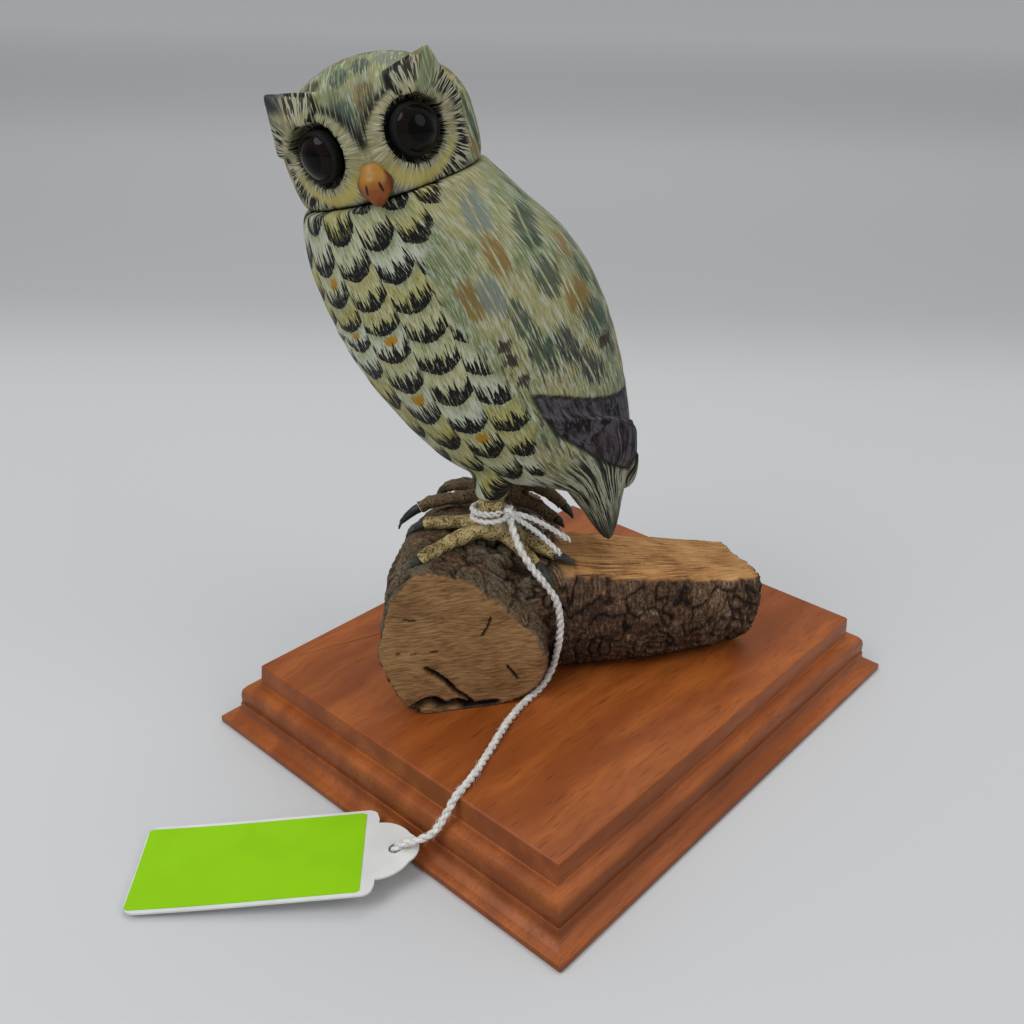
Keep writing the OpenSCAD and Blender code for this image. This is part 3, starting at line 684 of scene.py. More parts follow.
        shaft_x = m("Math:ABSOLUTE", m("Math:SUBTRACT", width, m("Math:MULTIPLY", chance, 0.9)))
        shaft = m("Math:SUBTRACT", m("Math:MULTIPLY", m("Math:SUBTRACT", 6.2, up), 0.2), shaft_x)
        shaft = m("Ease", shaft, -0.03, 0.12)
        side_x = m("Math:SUBTRACT", m("Math:ABSOLUTE", across), 0.5)
        side = m("Math:ADD", m("Math:MULTIPLY", side_x, self.column_mm), m("Math:MULTIPLY", tick, 1.5))
        side = m("Math:MULTIPLY", m("Ease", side, -0.75, -0.35), m("Ease", up, 4.6, 2.0))
        black = m("Math:MAXIMUM", m("Math:MAXIMUM", band, shaft), m("Math:MULTIPLY", side, 0.9))
        gap = m("Ease", self.strokes(p, m("Math:MULTIPLY", column, self.column_mm), along, 0.22, 2.2, 3.0),
                0.56, 0.7)
        black = m("Math:MULTIPLY", black, m("Math:SUBTRACT", 1.0, m("Math:MULTIPLY", gap, 0.75)))
        return m("Blend", black, tone, self.ink)

    def blotches(self, p: Paint, ground: Socket, column: Socket, along: Socket, row_mm: float, size: float,
                 seed: float) -> Socket:
        """Streaky oval feather marks in teal, ochre and umber, with a pale shaft down each.

        Args:
            p: the material in the making.
            ground: the colour underneath.
            column: the column number and place within it.
            along: the distance down the body in millimetres.
            row_mm: the distance between two marks down a column.
            size: the share of its column that a mark takes.
            seed: chooses another set of marks.
        Returns:
            The painted colour.
        """
        m = p.add
        number = m("Math:FLOOR", column)
        across = m("Math:SUBTRACT", m("Math:SUBTRACT", column, number), 0.5)
        shift = m("Math:MULTIPLY", m("TexWhiteNoise", {"W": m("Math:ADD", number, seed)},
                                     noise_dimensions="1D"), 0.9)
        rows = m("Math:ADD", m("Math:DIVIDE", along, row_mm), shift)
        row = m("Math:FLOOR", rows)
        down = m("Math:SUBTRACT", m("Math:SUBTRACT", rows, row), 0.5)
        cell = m("CombineXYZ", number, row, seed)
        dice = m("TexWhiteNoise", {"Vector": cell}, noise_dimensions="3D")
        offset = m("Math:MULTIPLY", m("Math:SUBTRACT", dice, 0.5), 0.3)
        width = m("Math:MULTIPLY", m("Math:ADD", across, offset), self.column_mm)
        streak = self.strokes(p, m("Math:MULTIPLY", column, self.column_mm), along, 0.36, 3.4, seed + 1)
        x = m("Math:DIVIDE", width, self.column_mm * size * 0.5)
        y = m("Math:DIVIDE", down, 0.36)
        oval = m("Math:ADD", m("Math:MULTIPLY", x, x), m("Math:MULTIPLY", y, y))
        oval = m("Math:ADD", oval, m("Math:MULTIPLY", m("Math:SUBTRACT", streak, 0.5), 4.2))
        mark = m("Ease", oval, 1.05, 0.6)
        shaft = m("Ease", m("Math:ABSOLUTE", width), 0.14, 0.3)
        hairs = m("Ease", streak, 0.6, 0.5)
        mark = m("Math:MULTIPLY", m("Math:MULTIPLY", mark, shaft),
                 m("Math:ADD", m("Math:MULTIPLY", hairs, 0.6), 0.4))
        colour = m("ValToRGB", dice, ramp=((0.0, WingPaint.TEAL.value), (0.34, WingPaint.OCHRE.value),
                                           (0.62, WingPaint.TEAL.value), (0.8, self.umber),
                                           (0.88, "#6f7a72")))
        colour.node.color_ramp.interpolation = "CONSTANT"
        return m("Blend", m("Math:MULTIPLY", mark, 0.85), ground, colour)

    def wing_marks(self, p: Paint, tone: Socket, side: Socket, up: Socket, streak: Socket) -> Socket:
        """Long oval brush marks set where the wing's feathers show them, and small square ones.

        Args:
            p: the material in the making.
            tone: the colour underneath.
            side: the distance towards the owl's back in millimetres.
            up: the height on the owl in millimetres.
            streak: the fine strokes that break each mark up.
        Returns:
            The painted colour.
        """
        m = p.add
        grain = m("Math:MULTIPLY", m("Math:SUBTRACT", streak, 0.5), 5.0)
        run = unit(np.array([0.5, -0.87]))
        for k, (y, z, paint) in enumerate(self.marks):
            dy, dz = m("Math:SUBTRACT", side, y), m("Math:SUBTRACT", up, z)
            along = m("Math:ADD", m("Math:MULTIPLY", dy, run[0]), m("Math:MULTIPLY", dz, run[1]))
            across = m("Math:SUBTRACT", m("Math:MULTIPLY", dy, -run[1]), m("Math:MULTIPLY", dz, -run[0]))
            wide = 2.45 + 0.4 * math.sin(2.1 * k)
            oval = m("Math:ADD", m("Math:POWER", m("Math:ABSOLUTE", m("Math:DIVIDE", along, 5.2)), 2.4),
                     m("Math:POWER", m("Math:ABSOLUTE", m("Math:DIVIDE", across, wide)), 2.0))
            body = m("Ease", m("Math:ADD", oval, grain), 1.25, 0.55)
            shaft = m("Ease", m("Math:ABSOLUTE", m("Math:ADD", across, 0.4)), 0.12, 0.34)
            share = m("Math:MULTIPLY", m("Math:MULTIPLY", body, shaft), 0.82)
            tone = m("Blend", share, tone, paint.value)
        for y, z in self.squares:
            far = m("Math:MAXIMUM", m("Math:ABSOLUTE", m("Math:SUBTRACT", side, y)),
                    m("Math:ABSOLUTE", m("Math:SUBTRACT", up, z)))
            tone = m("Blend", m("Math:MULTIPLY", m("Ease", m("Math:ADD", far, grain), 1.7, 1.2), 0.9), tone,
                     self.umber)
        return tone

    def body(self) -> bpy.types.Material:
        """The body's paint.

        Returns:
            The material, which reads the attributes plumage (column, mm down, side), zones (primaries, tail,
            outline) and wing (depth inside the wing, then place towards the back and upwards).
        """
        p = Paint("painted_plumage")
        m = p.add
        place = m("TexCoord", out="Object")
        grid = m("SeparateXYZ", m("Attribute", attribute_name="plumage", out="Vector")).node.outputs
        zones = m("SeparateXYZ", m("Attribute", attribute_name="zones", out="Vector")).node.outputs
        column = m("Math:ADD", m("Math:MULTIPLY", grid[0], m("Math:SIGN", grid[2])), 0.5)
        across = m("Math:MULTIPLY", column, self.column_mm)
        ground, fine = self.ground(p, across, grid[1], place)
        breast = self.scallops(p, ground, column, grid[1], fine)
        shoulder, back, up = m("SeparateXYZ", m("Attribute", attribute_name="wing",
                                                out="Vector")).node.outputs
        hairs = self.strokes(p, across, grid[1], 0.3, 5.0, 21.0)
        wing = m("Blend", m("Math:MULTIPLY", m("Ease", hairs, 0.55, 0.68), 0.6), ground, "#c3c8b4")
        wing = m("Blend", m("Math:MULTIPLY", m("Ease", hairs, 0.44, 0.32), 0.6), wing, self.olive)
        behind = self.blotches(p, wing, column, grid[1], 11.0, 0.62, 3.0)
        wing = m("Blend", m("Ease", grid[0], 8.4, 8.8), self.wing_marks(p, wing, back, up, hairs), behind)
        low = m("Math:MULTIPLY", m("Ease", up, 62.0, 52.0),
                m("Ease", self.strokes(p, across, grid[1], 0.7, 9.0, 33.0), 0.54, 0.6))
        wing = m("Blend", m("Math:MULTIPLY", low, 0.75), wing, WingPaint.SLATE.value)
        edge = m("Math:ADD", shoulder, m("Math:MULTIPLY", m("Math:SUBTRACT", fine, 0.5), 5.0))
        tone = m("Blend", m("Ease", edge, -0.6, 0.6), breast, wing)
        tail_marks = self.strokes(p, across, grid[1], 1.0, 16.0, 8.0)
        tail = m("Blend", m("Ease", tail_marks, 0.47, 0.52), "#20251f", "#a8ab92")
        tail = m("Blend", m("Math:MULTIPLY", m("Ease", fine, 0.47, 0.4), 0.8), tail, self.ink)
        tip = m("Ease", m("Math:ADD", grid[1], m("Math:MULTIPLY", fine, 14.0)), 104.0, 112.0)
        tail = m("Blend", m("Math:MULTIPLY", tip, 0.75), tail, "#2b3230")
        tone = m("Blend", zones[1], tone, tail)
        dusk = self.strokes(p, across, grid[1], 1.6, 7.0, 15.0)
        primary = m("Blend", m("Ease", dusk, 0.42, 0.6), "#131216", "#545057")
        violet = m("TexNoise", {"Vector": place, "Scale": 1 / (5 * MM), "Detail": 2.0})
        primary = m("Blend", m("Math:MULTIPLY", m("Ease", violet, 0.5, 0.65), 0.45), primary, "#4a3640")
        layer = m("Math:ADD", m("Math:MULTIPLY", back, 0.12), m("Math:MULTIPLY", up, 0.17))
        layer = m("Math:FRACT", m("Math:ADD", layer, m("Math:MULTIPLY", dusk, 0.5)))
        primary = m("Blend", m("Math:MULTIPLY", m("Ease", layer, 0.1, 0.02), 0.75), primary, self.ink)
        primary = m("Blend", m("Math:MULTIPLY", m("Ease", fine, 0.55, 0.66), 0.4), primary, "#7f8085")
        tone = m("Blend", zones[0], tone, primary)
        # Painted shade: the carved groove round the primaries, the outline zone, is painted near black.
        tone = m("Blend", m("Math:MULTIPLY", zones[2], 0.85), tone, self.ink)
        return p.close(fine, 0.09, Base_Color=tone, Roughness=0.6, Specular_IOR_Level=0.22)


@dataclass(frozen=True)
class FacePaint:
    """Acrylic paint brushed over the carved face.

    Radial strokes run out from each eye, with black lashes, barred brows and a mottled crown.
    """

    # Acrylic on a sealed carving: matt, with brush strokes that catch a little light.
    disc: str = "#aba588"
    olive: str = "#86825c"
    white: str = "#d3d1c0"
    warm: str = "#bfae4c"
    ink: str = "#0f0d0d"

    def one_disc(self, p: Paint, place: Socket, eye: Place) -> tuple:
        """The paint about one eye.

        Args:
            p: the material in the making.
            place: Object coordinates.
            eye: the eye's frame, with Z looking out and Y up.
        Returns:
            The disc's colour, the distance from the eye's middle, the cosine and sine of the turn about it,
            and the coarse and fine strokes.
        """
        m = p.add
        local = m("Mapping", {"Vector": place, **eye.mapping()})
        x, y = m("SeparateXYZ", local).node.outputs[:2]
        radius = m("Math:SQRT", m("Math:ADD", m("Math:MULTIPLY", x, x), m("Math:MULTIPLY", y, y)))
        cosine, sine = m("Math:DIVIDE", x, radius), m("Math:DIVIDE", y, radius)
        rays = m("CombineXYZ", m("Math:MULTIPLY", cosine, 13.0), m("Math:MULTIPLY", sine, 13.0),
                 m("Math:MULTIPLY", radius, 0.11))
        bars = m("TexNoise", {"Vector": rays, "Scale": 2.5, "Detail": 1.0, "Roughness": 0.4})
        fine = m("TexNoise", {"Vector": rays, "Scale": 2.3, "Detail": 2.0, "Roughness": 0.6})
        tone = m("Blend", m("Ease", fine, 0.36, 0.62), self.olive, self.disc)
        tone = m("Blend", m("Math:MULTIPLY", m("Ease", fine, 0.55, 0.68), 0.5), tone, self.white)
        glow = m("Math:MULTIPLY", m("Ease", sine, -0.1, -0.9),
                 m("Ease", m("Math:ABSOLUTE", m("Math:SUBTRACT", radius, 10.2)), 2.2, 0.6))
        tone = m("Blend", m("Math:MULTIPLY", glow, 0.6), tone, self.warm)
        return tone, radius, cosine, sine, bars, fine

    def made(self, eyes: dict, head: Place, plumage: Plumage) -> bpy.types.Material:
        """The head's finished material.

        Args:
            eyes: the two eyes' frames by side.
            head: the head's own frame.
            plumage: the body's paint, whose ground and marks cover the crown.
        Returns:
            The material, which reads the plumage and zones attributes.
        """
        p = Paint("painted_face")
        m = p.add
        place = m("TexCoord", out="Object")
        grid = m("SeparateXYZ", m("Attribute", attribute_name="plumage", out="Vector")).node.outputs
        zones = m("SeparateXYZ", m("Attribute", attribute_name="zones", out="Vector")).node.outputs
        across = m("Math:MULTIPLY", grid[0], plumage.column_mm)
        ground, hair = plumage.ground(p, across, grid[1], place)
        crown = plumage.blotches(p, ground, m("Math:MULTIPLY", grid[0], 1.5), grid[1], 8.0, 0.8, 11.0)
        left, right = (self.one_disc(p, place, eyes[side]) for side in Side)
        half = m("Math:GREATER_THAN", m("SeparateXYZ", m("Mapping", {"Vector": place, **head.mapping()})),
                 0.0)
        tone = m("Blend", half, right[0], left[0])
        radius, cosine, sine, bars, fine = (
            m("Mix", {0: half, 2: right[k], 3: left[k]}) for k in range(1, 6))
        outward = m("Math:MULTIPLY", cosine, m("Math:SUBTRACT", m("Math:MULTIPLY", half, 2.0), 1.0))
        reach = m("Math:ADD", 10.3, m("Math:MULTIPLY", m("Ease", outward, 0.55, -0.5), 2.0))
        reach = m("Math:SUBTRACT", reach, m("Math:MULTIPLY", m("Ease", sine, 0.15, 0.7), 1.6))
        rim = m("Ease", m("Math:SUBTRACT", radius, reach), -1.0, 0.8)
        below = m("Math:MULTIPLY", m("Ease", outward, -0.1, -0.5), m("Ease", sine, 0.15, -0.25))
        rim = m("Math:MULTIPLY", rim, m("Math:SUBTRACT", 1.0, below))
        barred = m("Blend", m("Ease", bars, 0.485, 0.54), self.ink, "#aeab92")
        tone = m("Blend", rim, tone, barred)
        lash = m("Math:ADD", radius, m("Math:MULTIPLY", m("Math:SUBTRACT", bars, 0.5), -7.0))
        tone = m("Blend", m("Ease", lash, 7.3, 6.9), tone, self.ink)
        tone = m("Blend", zones[0], crown, tone)
        brow = m("SeparateXYZ", m("Attribute", attribute_name="brow", out="Vector")).node.outputs
        tone = m("Blend", m("Math:MULTIPLY", brow[1], m("Ease", hair, 0.36, 0.6)), tone,
                 WingPaint.TEAL.value)
        quills = m("TexNoise", {"Vector": m("CombineXYZ", m("Math:MULTIPLY", brow[2], 1.15), 0.0, 0.0),
                                "Scale": 1.0, "Detail": 1.0})
        ticks = m("Math:MULTIPLY", m("Ease", brow[0], 0.1, 0.6),
                  m("Ease", m("Mix", {0: zones[0], 2: quills, 3: bars}), 0.58, 0.5))
        tone = m("Blend", ticks, tone, self.ink)
        # Painted shade: the low zone, the downward-facing underside of the head at the neck, is painted near
        # black.
        tone = m("Blend", zones[1], tone, self.ink)
        tone = m("Blend", zones[2], tone, "#33363a")
        return p.close(fine, 0.09, Base_Color=tone, Roughness=0.6, Specular_IOR_Level=0.22)


@dataclass(frozen=True)
class Glass:
    """A taxidermist's glass eye painted behind: a black pupil in a very dark brown iris under clear glass."""

    # Glass: sharp small highlights over a nearly black eye.
    pupil: str = "#040303"
    iris: str = "#110b08"
    pupil_mm: float = 2.9

    def made(self, eye: Place, name: str) -> bpy.types.Material:
        """The material of one eye.

        Args:
            eye: the eye's frame, with Z looking out.
            name: the material's name.
        Returns:
            The material, centred on the eye.
        """
        p = Paint(name)
        m = p.add
        place = m("TexCoord", out="Object")
        x, y = m("SeparateXYZ", m("Mapping", {"Vector": place, **eye.mapping()})).node.outputs[:2]
        radius = m("Math:SQRT", m("Math:ADD", m("Math:MULTIPLY", x, x), m("Math:MULTIPLY", y, y)))
        flecks = m("TexNoise", {"Vector": place, "Scale": 1 / (0.5 * MM), "Detail": 2.0})
        iris = m("Blend", m("Ease", flecks, 0.4, 0.65), self.iris, "#1d130d")
        tone = m("Blend", m("Ease", radius, self.pupil_mm + 0.25, self.pupil_mm - 0.1), iris, self.pupil)
        tone = m("Blend", m("Ease", radius, 4.4, 5.0), tone, self.pupil)
        return p.close(Base_Color=tone, Roughness=0.09, Specular_IOR_Level=0.12)


@dataclass(frozen=True)
class Putty:
    """Painted epoxy putty: a base colour, stippled darker and lighter, with a dull sheen."""

    # Epoxy putty under paint: dull, dimpled, and darker where the stipple gathers, with painted shade in its
    # hollows.
    name: str
    base: str
    stipple: str
    fleck: str
    share: float = 0.5
    stipple_mm: float = 0.55
    gloss: float = 0.55
    rust: str = "#7d4a2c"

    def made(self) -> bpy.types.Material:
        """The finished material.

        Returns:
            The material.
        """
        p = Paint(self.name)
        m = p.add
        place = m("TexCoord", out="Object")
        dots = m("TexNoise", {"Vector": place, "Scale": 1 / (self.stipple_mm * MM), "Detail": 2.0,
                              "Roughness": 0.7})
        reds = m("TexNoise", {"Vector": m("Mapping", {"Vector": place, "Location": (0.3, 0.1, 0.2)}),
                              "Scale": 1 / (0.9 * MM), "Detail": 1.0})
        cloud = m("TexNoise", {"Vector": place, "Scale": 1 / (4 * MM), "Detail": 2.0})
        hollow_shade = m("NewGeometry", out="Pointiness")
        tone = m("Blend", m("Ease", cloud, 0.35, 0.65), self.base, self.fleck)
        lean = m("Math:ADD", dots, m("Math:MULTIPLY", m("Math:SUBTRACT", cloud, 0.5), 0.25))
        tone = m("Blend", m("Math:MULTIPLY", m("Ease", reds, 0.58, 0.64), 0.6), tone, self.rust)
        tone = m("Blend", m("Math:MULTIPLY", m("Ease", lean, 0.5 + 0.1 * (1 - self.share), 0.6), 0.9), tone,
                 self.stipple)
        # Painted shade: hollows, where the surface curves inward, are darkened towards the stipple colour.
        tone = m("Blend", m("Math:MULTIPLY", m("Ease", hollow_shade, 0.49, 0.42), 0.8), tone, self.stipple)
        return p.close(dots, 0.12, Base_Color=tone, Roughness=self.gloss, Specular_IOR_Level=0.25)


@dataclass(frozen=True)
class BeakPaint:
    """Orange paint over putty, ochre along the top and red-brown at the sides and the tip, softly glossy."""

    # Acrylic under a brushed varnish: a soft broad shine over mixed orange and brown.
    ochre: str = "#a8772a"
    orange: str = "#8f4a17"
    red: str = "#5a1f0e"
    ink: str = "#160806"

    def made(self, beak: Place) -> bpy.types.Material:
        """The finished material.

        Args:
            beak: the beak's frame, with Y up its front.
        Returns:
            The material, centred on that frame.
        """
        p = Paint("painted_beak")
        m = p.add
        place = m("TexCoord", out="Object")
        x, y = m("SeparateXYZ", m("Mapping", {"Vector": place, **beak.mapping()})).node.outputs[:2]
        cloud = m("TexNoise", {"Vector": place, "Scale": 1 / (1.6 * MM), "Detail": 3.0})
        high = m("Math:ADD", y, m("Math:MULTIPLY", m("Math:SUBTRACT", cloud, 0.5), 3.0))
        tone = m("Blend", m("Ease", high, -1.2, 2.4), self.orange, self.ochre)
        tone = m("Blend", m("Ease", m("Math:ADD", m("Math:ABSOLUTE", x), m("Math:MULTIPLY", cloud, 1.6)),
                            3.1, 4.6), tone, self.red)
        tone = m("Blend", m("Math:MULTIPLY", m("Ease", high, -2.2, -4.0), 0.6), tone, self.red)
        slit_x = m("Math:SUBTRACT", m("Math:ABSOLUTE", x),
                   m("Math:ADD", 1.55, m("Math:MULTIPLY", y, -0.16)))
        slit = m("Math:ADD", m("Math:POWER", m("Math:DIVIDE", m("Math:ABSOLUTE", slit_x), 0.3), 2.0),
                 m("Math:POWER", m("Math:DIVIDE", m("Math:ABSOLUTE", m("Math:ADD", y, 0.35)), 1.25), 2.0))
        tone = m("Blend", m("Ease", slit, 1.2, 0.6), tone, self.ink)
        return p.close(cloud, 0.1, Base_Color=tone, Roughness=0.4, Specular_IOR_Level=0.35)


@dataclass(frozen=True)
class CottonTwist:
    """Soft white cotton, two plies twisted together: matt, fibrous, a little grey in the grooves."""

    # Unbleached cotton string: no shine, a soft fuzzy edge, and grey only between its plies.
    white: str = "#f6f4f0"
    shade: str = "#cdc8c0"

    def made(self) -> bpy.types.Material:
        """The finished material.

        Returns:
            The material, which reads the twist attribute: turns round a ply, mm along it and the ply.
        """
        p = Paint("twisted_cotton")
        m = p.add
        x, y, z = m("SeparateXYZ", m("Attribute", attribute_name="twist", out="Vector")).node.outputs
        lay = m("CombineXYZ", m("Math:ADD", m("Math:MULTIPLY", x, 7.0), m("Math:MULTIPLY", y, 2.2)),
                m("Math:MULTIPLY", y, 0.5), z)
        yarn = m("TexNoise", {"Vector": lay, "Scale": 1.0, "Detail": 3.0, "Roughness": 0.65})
        tone = m("Blend", m("Ease", yarn, 0.38, 0.6), self.shade, self.white)
        return p.close(yarn, 0.12, Base_Color=tone, Roughness=0.9, Sheen_Weight=0.4, Sheen_Roughness=0.5,
                       Specular_IOR_Level=0.2)


@dataclass(frozen=True)
class Card:
    """Smooth uncoated paper: an even colour with a faint fibre mottle."""

    # Card stock, a paper label or turned birch: flat and nearly even in colour.
    name: str
    tone: str
    mottle: str
    gloss: float = 0.6

    def made(self) -> bpy.types.Material:
        """The finished material.

        Returns:
            The material.
        """
        p = Paint(self.name)
        m = p.add
        place = m("TexCoord", out="Object")
        fibres = m("TexNoise", {"Vector": place, "Scale": 1 / (0.6 * MM), "Detail": 3.0})
        cloud = m("TexNoise", {"Vector": place, "Scale": 1 / (12 * MM), "Detail": 2.0})
        tone = m("Blend", m("Ease", cloud, 0.35, 0.7), self.tone, self.mottle)
        tone = m("Blend", m("Math:MULTIPLY", m("Ease", fibres, 0.55, 0.75), 0.15), tone, self.mottle)
        return p.close(fibres, 0.02, Base_Color=tone, Roughness=self.gloss, Specular_IOR_Level=0.15)


@dataclass(frozen=True)
class Wire:
    """Drawn steel or plated screws: bright metal with fine lengthwise drawing marks."""

    # Bright or zinc-plated steel: grey reflections drawn out along the wire.
    name: str
    tone: str

    def made(self) -> bpy.types.Material:
        """The finished material.

        Returns:
            The material, with its drawing marks along Z.
        """
        p = Paint(self.name)
        m = p.add
        marks = m("TexNoise", {"Vector": m("Mapping", {"Vector": m("TexCoord", out="Object"),
                                                       "Scale": (1.0, 1.0, 0.08)}),
                               "Scale": 1 / (0.2 * MM), "Detail": 2.0})
        rough = m("MapRange", marks, 0.3, 0.7, 0.25, 0.42)
        return p.close(marks, 0.01, Base_Color=self.tone, Metallic=1.0, Roughness=rough)


# ---- frames ------------------------------------------------------------------------------------


def pin_line(frame: dict, node: str) -> tuple:
    """The middle line of a pin.

    Args:
        node: the pin's CAD node.
    Returns:
        The middle of the pin in millimetres, and its direction.
    """
    points = np.unique(np.round(points_of(frame["nodes"][node]), 3), axis=0)
    direction = np.linalg.svd(points - points.mean(0), full_matrices=False)[2][0]
    return (points.min(0) + points.max(0)) / 2, direction


class Layout:
    """The sub-assemblies' own frames, found from the pins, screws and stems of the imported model."""

    # The neck dowel's middle in the owl's frame, how far along the trunk the two screws stand, and how far
    # a stem's middle lies behind its eye.
    neck: tuple = (0.0, -25.4, 87.7)
    screw_shares: tuple = (0.34, 0.8)
    stem_middle: float = 5.95

    def __init__(self, frame: dict) -> None:
        """Finds every frame.
        """
        middle, rise = pin_line(frame, "neck_dowel")
        rise = rise * np.sign(rise[2])
        back = -unit(rise * (1, 1, 0))
        self.owl = Place(middle, np.array([np.cross(back, UP), back, UP])).moved(
            tuple(-c for c in self.neck))
        stems = {side: pin_line(frame, f"{side.word}_eye_stem") for side in Side}
        ahead = sum(at for at, _ in stems.values()) / 2 - middle
        ahead = unit(ahead - rise * (ahead @ rise))
        self.head = Place(middle, np.array([np.cross(-ahead, rise), -ahead, rise]))
        self.eyes = {}
        for side, (at, line) in stems.items():
            line = line * np.sign((at - middle) @ line)
            self.eyes[side] = Place(at + self.stem_middle * line,
                                    np.array([np.cross(rise, line), rise, line]))
        self.beak = self.head.moved((0, -21, 3.99), "X", 90)
        screws = points_of(frame["nodes"]["log_screws"])
        half = screws[:, 1] < (screws[:, 1].min() + screws[:, 1].max()) / 2
        first, second = ((part.min(0) + part.max(0)) / 2 * (1, 1, 0)
                         for part in (screws[half], screws[~half]))
        along = unit(second - first)
        near, far = self.screw_shares
        start = first - (second - first) * near / (far - near)
        start[2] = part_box("plinth")[1].z / MM
        self.trunk = Place(start, np.array([np.cross(along, UP), along, UP]))
        self.knot = self.owl.moved((9.8, -2, 0))
        self.tag = Place(np.array([14.7, -81.8, 6.2]), np.eye(3)).moved((0, 0, 0), "Z", 44.8).moved(
            (0, 0, 0), "Y", -5.59).moved((-62.15, 0, 0))


# ---- studio ------------------------------------------------------------------------------------


@dataclass
class Studio:
    """The camera, a pale table top and soft light."""

    lens: float = 37.888
    stand: tuple = (161.911, -207.908, 197.998)
    ahead: tuple = (-0.58905, 0.66369, -0.46101)
    roll: float = 1.184
    floor: float = 14000.0
    far_way: tuple = (-0.664, 0.748)

    def camera(self) -> None:
        """Makes the scene's camera."""
        data = bpy.data.cameras.new("view")
        data.lens, data.sensor_width, data.clip_start, data.clip_end = self.lens, 36, 0.01, 20
        camera = bpy.data.objects.new("view", data)
        bpy.context.scene.collection.objects.link(camera)
        ahead = unit(np.array(self.ahead))
        right = unit(np.cross(ahead, UP))
        up = np.cross(right, ahead)
        c, s = math.cos(math.radians(self.roll)), math.sin(math.radians(self.roll))
        axes = np.array([c * right + s * up, -s * right + c * up, -ahead])
        camera.matrix_world = Matrix.Translation(np.array(self.stand) * MM) @ Matrix(axes.T.tolist()).to_4x4()
        bpy.context.scene.camera = camera

    def table_top(self) -> None:
        """Makes the floor, whose tone carries painted shade a little way off and painted light further off.
        """
        bpy.ops.mesh.primitive_plane_add(size=self.floor * MM, location=(0, 0, 0))
        floor = bpy.context.object
        floor.name = "table_top"
        p = Paint("pale_paper")
        m = p.add
        x, y, _ = m("SeparateXYZ", m("TexCoord", out="Object")).node.outputs
        away = m("Math:SUBTRACT", m("Math:MULTIPLY", y, self.far_way[1]),
                 m("Math:MULTIPLY", x, -self.far_way[0]))
        # Painted shade and light: the tone darkens a little way off behind the figurine, then pales to near
        # white far off.
        tone = m("Blend", m("Ease", away, 0.24, 0.42), "#d3d4d5", "#bfbfc0")
        tone = m("Blend", m("Ease", away, 0.42, 1.1), tone, "#d9d9da")
        tone = m("Blend", m("Ease", away, 1.2, 3.2), tone, "#fbfbfc")
        floor.data.materials.append(p.close(Base_Color=tone, Roughness=0.7))

    def lamp(self, name: str, at: tuple, aim: tuple, size: float, power: float) -> None:
        """Makes one soft lamp.

        Args:
            name: its name.
            at: where it hangs, in metres.
            aim: where it points.
            size: the width of its soft box.
            power: its power in watts.
        """
        data = bpy.data.lights.new(name, "AREA")
        data.shape, data.size, data.energy = "DISK", size, power
        lamp = bpy.data.objects.new(name, data)
        lamp.location = at
        lamp.rotation_euler = (Vector(aim) - Vector(at)).to_track_quat("-Z", "Y").to_euler()
        bpy.context.scene.collection.objects.link(lamp)

    def light(self) -> None:
        """Makes the lamps and the bright room."""
        self.lamp("window", (-0.15, -0.75, 0.95), (0, 0, 0.06), 0.7, 5.0)
        self.lamp("fill", (0.9, 0.2, 0.8), (0, 0, 0.06), 0.8, 2.4)
        self.lamp("top", (-0.2, 0.3, 1.2), (0, 0, 0.0), 0.9, 3.4)
        world = bpy.data.worlds.new("room")
        world.use_nodes = True
        world.node_tree.nodes["Background"].inputs[0].default_value = linear("#eef1f4")
        world.node_tree.nodes["Background"].inputs[1].default_value = 0.42
        bpy.context.scene.world = world
        bpy.context.scene.view_settings.view_transform = "Standard"


# ---- swing tag ---------------------------------------------------------------------------------


def sides_of(path: np.ndarray) -> tuple:
    """Two directions square to a path, which don't spin along it.

    Args:
        path: the path's points.
    Returns:
        Two arrays with one unit vector for each point.
    """
    tangents = np.gradient(path, axis=0)
    tangents /= np.linalg.norm(tangents, axis=1, keepdims=True)
    first = np.cross(tangents[0], (0.31, 0.2, 0.93))
    across = [unit(first)]
    for tangent in tangents[1:]:
        across.append(unit(across[-1] - tangent * (across[-1] @ tangent)))
    across = np.array(across)
    return across, np.cross(tangents, across)


def tube(path: np.ndarray, radii: np.ndarray, count: int) -> tuple:
    """The points and faces of a round tube about a path, with closed ends.

    Args:
        path: the middle line in millimetres.
        radii: the radius at each of its points.
        count: how many sides it has.
    Returns:
        The points, and the faces as lists of point numbers.
    """
    across, over = sides_of(path)
    angles = np.linspace(0, 2 * math.pi, count, endpoint=False)
    ring = np.cos(angles)[None, :, None] * across[:, None] + np.sin(angles)[None, :, None] * over[:, None]
    points = (path[:, None] + ring * np.asarray(radii)[:, None, None]).reshape(-1, 3)
    faces = []
    for i in range(len(path) - 1):
        for k in range(count):
            n = (k + 1) % count
            faces.append([i * count + k, i * count + n, (i + 1) * count + n, (i + 1) * count + k])
    last = (len(path) - 1) * count
    faces += [list(range(count))[::-1], [last + k for k in range(count)]]
    return points, faces


